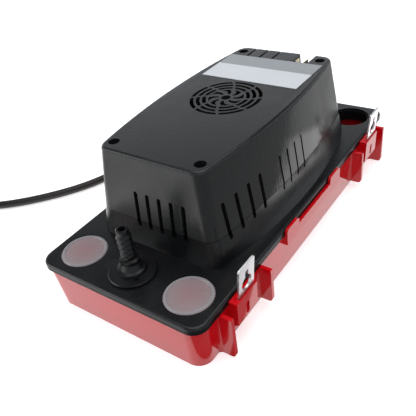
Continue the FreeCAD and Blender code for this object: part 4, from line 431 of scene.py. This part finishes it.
# %% Metals of the pump
METALS = {
    "hanger_steel": dict(colour=(0.78, 0.79, 0.80), roughness=0.38, scale=160.0),
    "screw_steel": dict(colour=(0.55, 0.55, 0.56), roughness=0.35),
    "ball_steel": dict(colour=(0.6, 0.6, 0.6), roughness=0.15),
    "stack_steel": dict(colour=(0.22, 0.22, 0.23), roughness=0.45, stretch=(1, 1, 60), scale=30.0),
    "winding": dict(colour=(0.62, 0.24, 0.10), roughness=0.3, stretch=(40, 1, 1), scale=60.0),
    "rotor_aluminium": dict(colour=(0.6, 0.6, 0.62), roughness=0.35, stretch=(1, 1, 30)),
    "shaft_steel": dict(colour=(0.58, 0.58, 0.6), roughness=0.2, stretch=(1, 1, 30)),
    "bar_steel": dict(colour=(0.45, 0.45, 0.46), roughness=0.4, stretch=(1, 30, 30)),
    "terminal_brass": dict(colour=(0.72, 0.62, 0.42), roughness=0.3),
}
METAL_SHADES = (0.88, 1.08)
METAL_DRIFT = 0.08


def metal(name, colour, roughness, stretch=(1, 1, 1), scale=400.0):
    made, tree, surface = new_material(name)
    lines = noise(tree, scale, detail=3.0, rough=0.6, stretch=stretch)
    feed(tree, surface.inputs["Base Color"], mottled(tree, lines, colour, METAL_SHADES))
    feed(tree, surface.inputs["Roughness"], drifting(tree, lines, roughness, METAL_DRIFT))
    feed(tree, surface.inputs["Metallic"], 1.0)
    bump(tree, surface, lines, strength=0.25, depth=0.00002)
    return made


for name, look in METALS.items():
    finishes[name] = metal(name, **look)
print(len(finishes), "finishes")

# %% [markdown]
# The frame's record names a material slot for every node. The finishes could be handed out
# by hand, but with 40 nodes one is soon forgotten, so a loop looks up each node's slot and
# gives it the finish of that name.

# %% Give each node its finish
slots = {part["node"]: part["material_slot"] for part in frame["record"]["subparts"]}
for name, piece in nodes.items():
    piece.data.materials.clear()
    piece.data.materials.append(finishes[slots[name]])
print("nodes finished:", len(slots))

# %% [markdown]
# The supply cord is one length of round cable: about 1.8 m, 6.8 mm thick. It leaves the tower
# at the back, drops behind the tank and runs along the floor out of the picture, where the
# rest lies in a neat coil with the plug. The free run is a short list of points, as nobody
# lays a cord by a rule. The coil does follow one, so a loop winds it: three rows
# inwards on the floor and three outwards on top of them, each row one cord thick.

# %% Cord route
ROUTE = [
    (-18.0, 88.0, 46.5), (-18.0, 138.0, 46.5), (-30.0, 178.0, 32.0), (-54.0, 211.0, 6.5),
    (-94.0, 219.0, 3.5), (-128.0, 190.0, 3.5), (-141.0, 142.0, 3.5), (-137.0, 88.0, 3.5),
    (-127.0, 38.0, 3.5), (-136.0, -14.0, 3.5), (-160.0, -52.0, 3.5), (-196.0, -87.0, 3.5),
    (-238.0, -105.5, 3.5),
]
CORD_RADIUS = 3.4
COIL_MEAN = 37.0
COIL_ENTRY = 6.0
LOWER_HEIGHT = 4.4
TURNS = 5.43
POINTS_PER_TURN = 14
ROW_CHANGE = 0.25
INTO_PLUG = ((-8, 0, 0.4), (6, 0, 0))
LOWEST, HIGHEST = 0, 6


def box(name):
    """The lowest and the highest corner of a node, in millimetres."""
    corners = nodes[name].bound_box
    return Vector(corners[LOWEST]) / MM, Vector(corners[HIGHEST]) / MM


last_run = (Vector(ROUTE[-1]) - Vector(ROUTE[-2])).normalized()
across = Vector((-last_run.y, last_run.x, 0))
coil_centre = Vector(ROUTE[-1]) + last_run * COIL_ENTRY + across * (COIL_MEAN + 2 * CORD_RADIUS)
begin = math.atan2(-across.y, -across.x)
radii = [COIL_MEAN + side * 2 * CORD_RADIUS for side in (1, 0, -1)]
rows = [Vector((radius, LOWER_HEIGHT)) for radius in radii]
rows += [Vector((radius, LOWER_HEIGHT + 2 * CORD_RADIUS)) for radius in reversed(radii)]
points = [Vector(place) for place in ROUTE]
for step in range(1, int(TURNS * POINTS_PER_TURN) + 1):
    turn = step / POINTS_PER_TURN
    row = min(int(turn), len(rows) - 1)
    share = min(1.0, (turn - row) / ROW_CHANGE)
    smooth = share * share * (3 - 2 * share)
    radius, height = rows[max(row - 1, 0)].lerp(rows[row], smooth)
    angle = begin + turn * 2 * math.pi
    wide = radius / math.cos(math.pi / POINTS_PER_TURN)
    points.append(Vector((coil_centre.x + wide * math.cos(angle),
                          coil_centre.y + wide * math.sin(angle), height)))
plug_low, plug_high = box("power_plug")
_, plug_y, plug_z = (plug_low + plug_high) / 2
plug_mouth = Vector((plug_low.x, plug_y, plug_z))
points += [plug_mouth + Vector(place) for place in INTO_PLUG]
print(len(points), "points, coil centre", [round(value, 1) for value in coil_centre])

# %% [markdown]
# A cable could be swept as a mesh, but a curve with a round bevel is quicker and stays easy to
# change: a line of points and a thickness. A NURBS curve bends between few points as a cable
# does, without the kinks of straight pieces. It takes the place of two nodes of the frame,
# one for the free run and one for the coil.

# %% Cord
curve = bpy.data.curves.new("supply_cord", "CURVE")
curve.dimensions = "3D"
curve.resolution_u = 6
curve.bevel_depth = CORD_RADIUS * MM
curve.bevel_resolution = 5
curve.use_fill_caps = True
spline = curve.splines.new("NURBS")
spline.points.add(len(points) - 1)
for place, point in zip(points, spline.points):
    point.co = (*(place * MM), 1)
spline.order_u = 3
spline.use_endpoint_u = True
cord = bpy.data.objects.new("supply_cord", curve)
scene.collection.objects.link(cord)
curve.materials.append(finishes["cord_vinyl"])
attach(cord, "housing")
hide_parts("power_cord", "cord_coil")
print("cord", 2 * CORD_RADIUS, "mm thick")

# %% [markdown]
# Three pieces carry the same small shape many times: the strain relief and the plug's neck
# have ribs, and the motor's coil is wound of many turns. An Array modifier could repeat one
# loop, but tapers only with the help of another object. One Geometry Nodes group sets closed
# loops in a row instead, with the number, the spacing, the taper and the finish as inputs. A
# loop is a rounded rectangle of half width 1. Its depth, corners and thickness are shares of
# that, and each loop is scaled to its size.

# %% A row of loops
LOOP_INPUTS = {
    "Count": "NodeSocketInt", "Spacing": "NodeSocketFloat", "First size": "NodeSocketFloat",
    "Last size": "NodeSocketFloat", "Depth share": "NodeSocketFloat",
    "Corner share": "NodeSocketFloat", "Thickness share": "NodeSocketFloat",
    "Finish": "NodeSocketMaterial",
}
CORNER_STEPS = 8
WIRE_SIDES = 8


def loop_group():
    group = bpy.data.node_groups.new("loops_in_a_row", "GeometryNodeTree")
    group.interface.new_socket("Geometry", in_out="OUTPUT", socket_type="NodeSocketGeometry")
    for label, kind in LOOP_INPUTS.items():
        group.interface.new_socket(label, in_out="INPUT", socket_type=kind)
    add, link = group.nodes.new, group.links.new
    given, result = add("NodeGroupInput"), add("NodeGroupOutput")
    step = add("ShaderNodeCombineXYZ")
    link(given.outputs["Spacing"], step.inputs["Z"])
    row = add("GeometryNodeMeshLine")
    link(given.outputs["Count"], row.inputs["Count"])
    link(step.outputs[0], row.inputs["Offset"])
    outline = add("GeometryNodeCurvePrimitiveQuadrilateral")
    outline.inputs["Width"].default_value = 2.0
    link(calculate(group, "MULTIPLY", given.outputs["Depth share"], 2.0), outline.inputs["Height"])
    rounded = add("GeometryNodeFilletCurve")
    rounded.mode = "POLY"
    rounded.inputs["Count"].default_value = CORNER_STEPS
    link(outline.outputs["Curve"], rounded.inputs["Curve"])
    link(given.outputs["Corner share"], rounded.inputs["Radius"])
    wire = add("GeometryNodeCurvePrimitiveCircle")
    wire.inputs["Resolution"].default_value = WIRE_SIDES
    link(given.outputs["Thickness share"], wire.inputs["Radius"])
    loop = add("GeometryNodeCurveToMesh")
    link(rounded.outputs["Curve"], loop.inputs["Curve"])
    link(wire.outputs["Curve"], loop.inputs["Profile Curve"])
    taper = add("ShaderNodeMapRange")
    link(add("GeometryNodeInputIndex").outputs[0], taper.inputs["Value"])
    link(calculate(group, "SUBTRACT", given.outputs["Count"], 1.0), taper.inputs["From Max"])
    link(given.outputs["First size"], taper.inputs["To Min"])
    link(given.outputs["Last size"], taper.inputs["To Max"])
    placed = add("GeometryNodeInstanceOnPoints")
    link(row.outputs["Mesh"], placed.inputs["Points"])
    link(loop.outputs["Mesh"], placed.inputs["Instance"])
    link(taper.outputs["Result"], placed.inputs["Scale"])
    solid = add("GeometryNodeRealizeInstances")
    link(placed.outputs["Instances"], solid.inputs["Geometry"])
    finish = add("GeometryNodeSetMaterial")
    link(solid.outputs["Geometry"], finish.inputs["Geometry"])
    link(given.outputs["Finish"], finish.inputs["Material"])
    link(finish.outputs["Geometry"], result.inputs["Geometry"])
    return group


loops_in_a_row = loop_group()
print("group with", len(LOOP_INPUTS), "inputs")

# %% [markdown]
# The group works on a modifier of an object that starts empty. Its result is turned into a
# plain mesh at once, scaled from millimetres to metres and laid where it belongs, and the
# modifier goes. The empty slot that the first mesh leaves in front of the finish goes too.
# Typed places would do for one pump, but here each row starts from the corners of the piece
# that carries it, so it moves along when that piece does.

# %% Ribs and winding
ROUND = 0.999
RELIEF_RIBS = {"Count": 5, "Spacing": 2.5, "First size": 5.35, "Last size": 4.85,
               "Depth share": 1.0, "Corner share": ROUND, "Thickness share": 0.12}
NECK_RIBS = {"Count": 5, "Spacing": 2.6, "First size": 4.5, "Last size": 5.8,
             "Depth share": 1.0, "Corner share": ROUND, "Thickness share": 0.12}
COIL_TURNS = {"Count": 27, "Spacing": 1.0, "First size": 16.0, "Last size": 16.0,
              "Depth share": 0.72, "Corner share": 0.25, "Thickness share": 0.03}
NECK_START = 2.5


def loops(name, carrier, matrix, sizes):
    """Builds one row of loops, in millimetres, and lays it with a matrix."""
    slot = slots[carrier]
    holder = bpy.data.objects.new(name, bpy.data.meshes.new(name))
    scene.collection.objects.link(holder)
    modifier = holder.modifiers.new("loops", "NODES")
    modifier.node_group = loops_in_a_row
    items = loops_in_a_row.interface.items_tree
    sockets = {item.name: item.identifier for item in items if item.in_out == "INPUT"}
    for label, value in {**sizes, "Finish": finishes[slot]}.items():
        modifier[sockets[label]] = value
    bpy.context.view_layer.update()
    graph = bpy.context.evaluated_depsgraph_get()
    mesh = bpy.data.meshes.new_from_object(holder.evaluated_get(graph))
    holder.modifiers.clear()
    holder.data = mesh
    mesh.transform(Matrix.Scale(MM, 4) @ matrix)
    mesh.materials.clear()
    mesh.materials.append(finishes[slot])
    mesh.shade_smooth()
    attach(holder, "housing")
    print(name, len(mesh.polygons), "faces of", slot)


to_rear = Matrix.Rotation(math.radians(-90), 4, "X")
to_right = Matrix.Rotation(math.radians(90), 4, "Y")
relief_low, relief_high = box("strain_relief")
relief_x, _, relief_z = (relief_low + relief_high) / 2
relief_y = relief_high.y - RELIEF_RIBS["Count"] * RELIEF_RIBS["Spacing"]
relief_start = Matrix.Translation((relief_x, relief_y, relief_z))
loops("relief_ribs", "strain_relief", relief_start @ to_rear, RELIEF_RIBS)
neck_start = Matrix.Translation(plug_mouth + Vector((NECK_START, 0, 0)))
loops("plug_ribs", "power_plug", neck_start @ to_right, NECK_RIBS)
coil_low, coil_high = box("stator_coil")
_, coil_y, coil_z = (coil_low + coil_high) / 2
coil_start = Matrix.Translation((coil_low.x + COIL_TURNS["Spacing"] / 2, coil_y, coil_z))
loops("coil_turns", "stator_coil", coil_start @ to_right, COIL_TURNS)
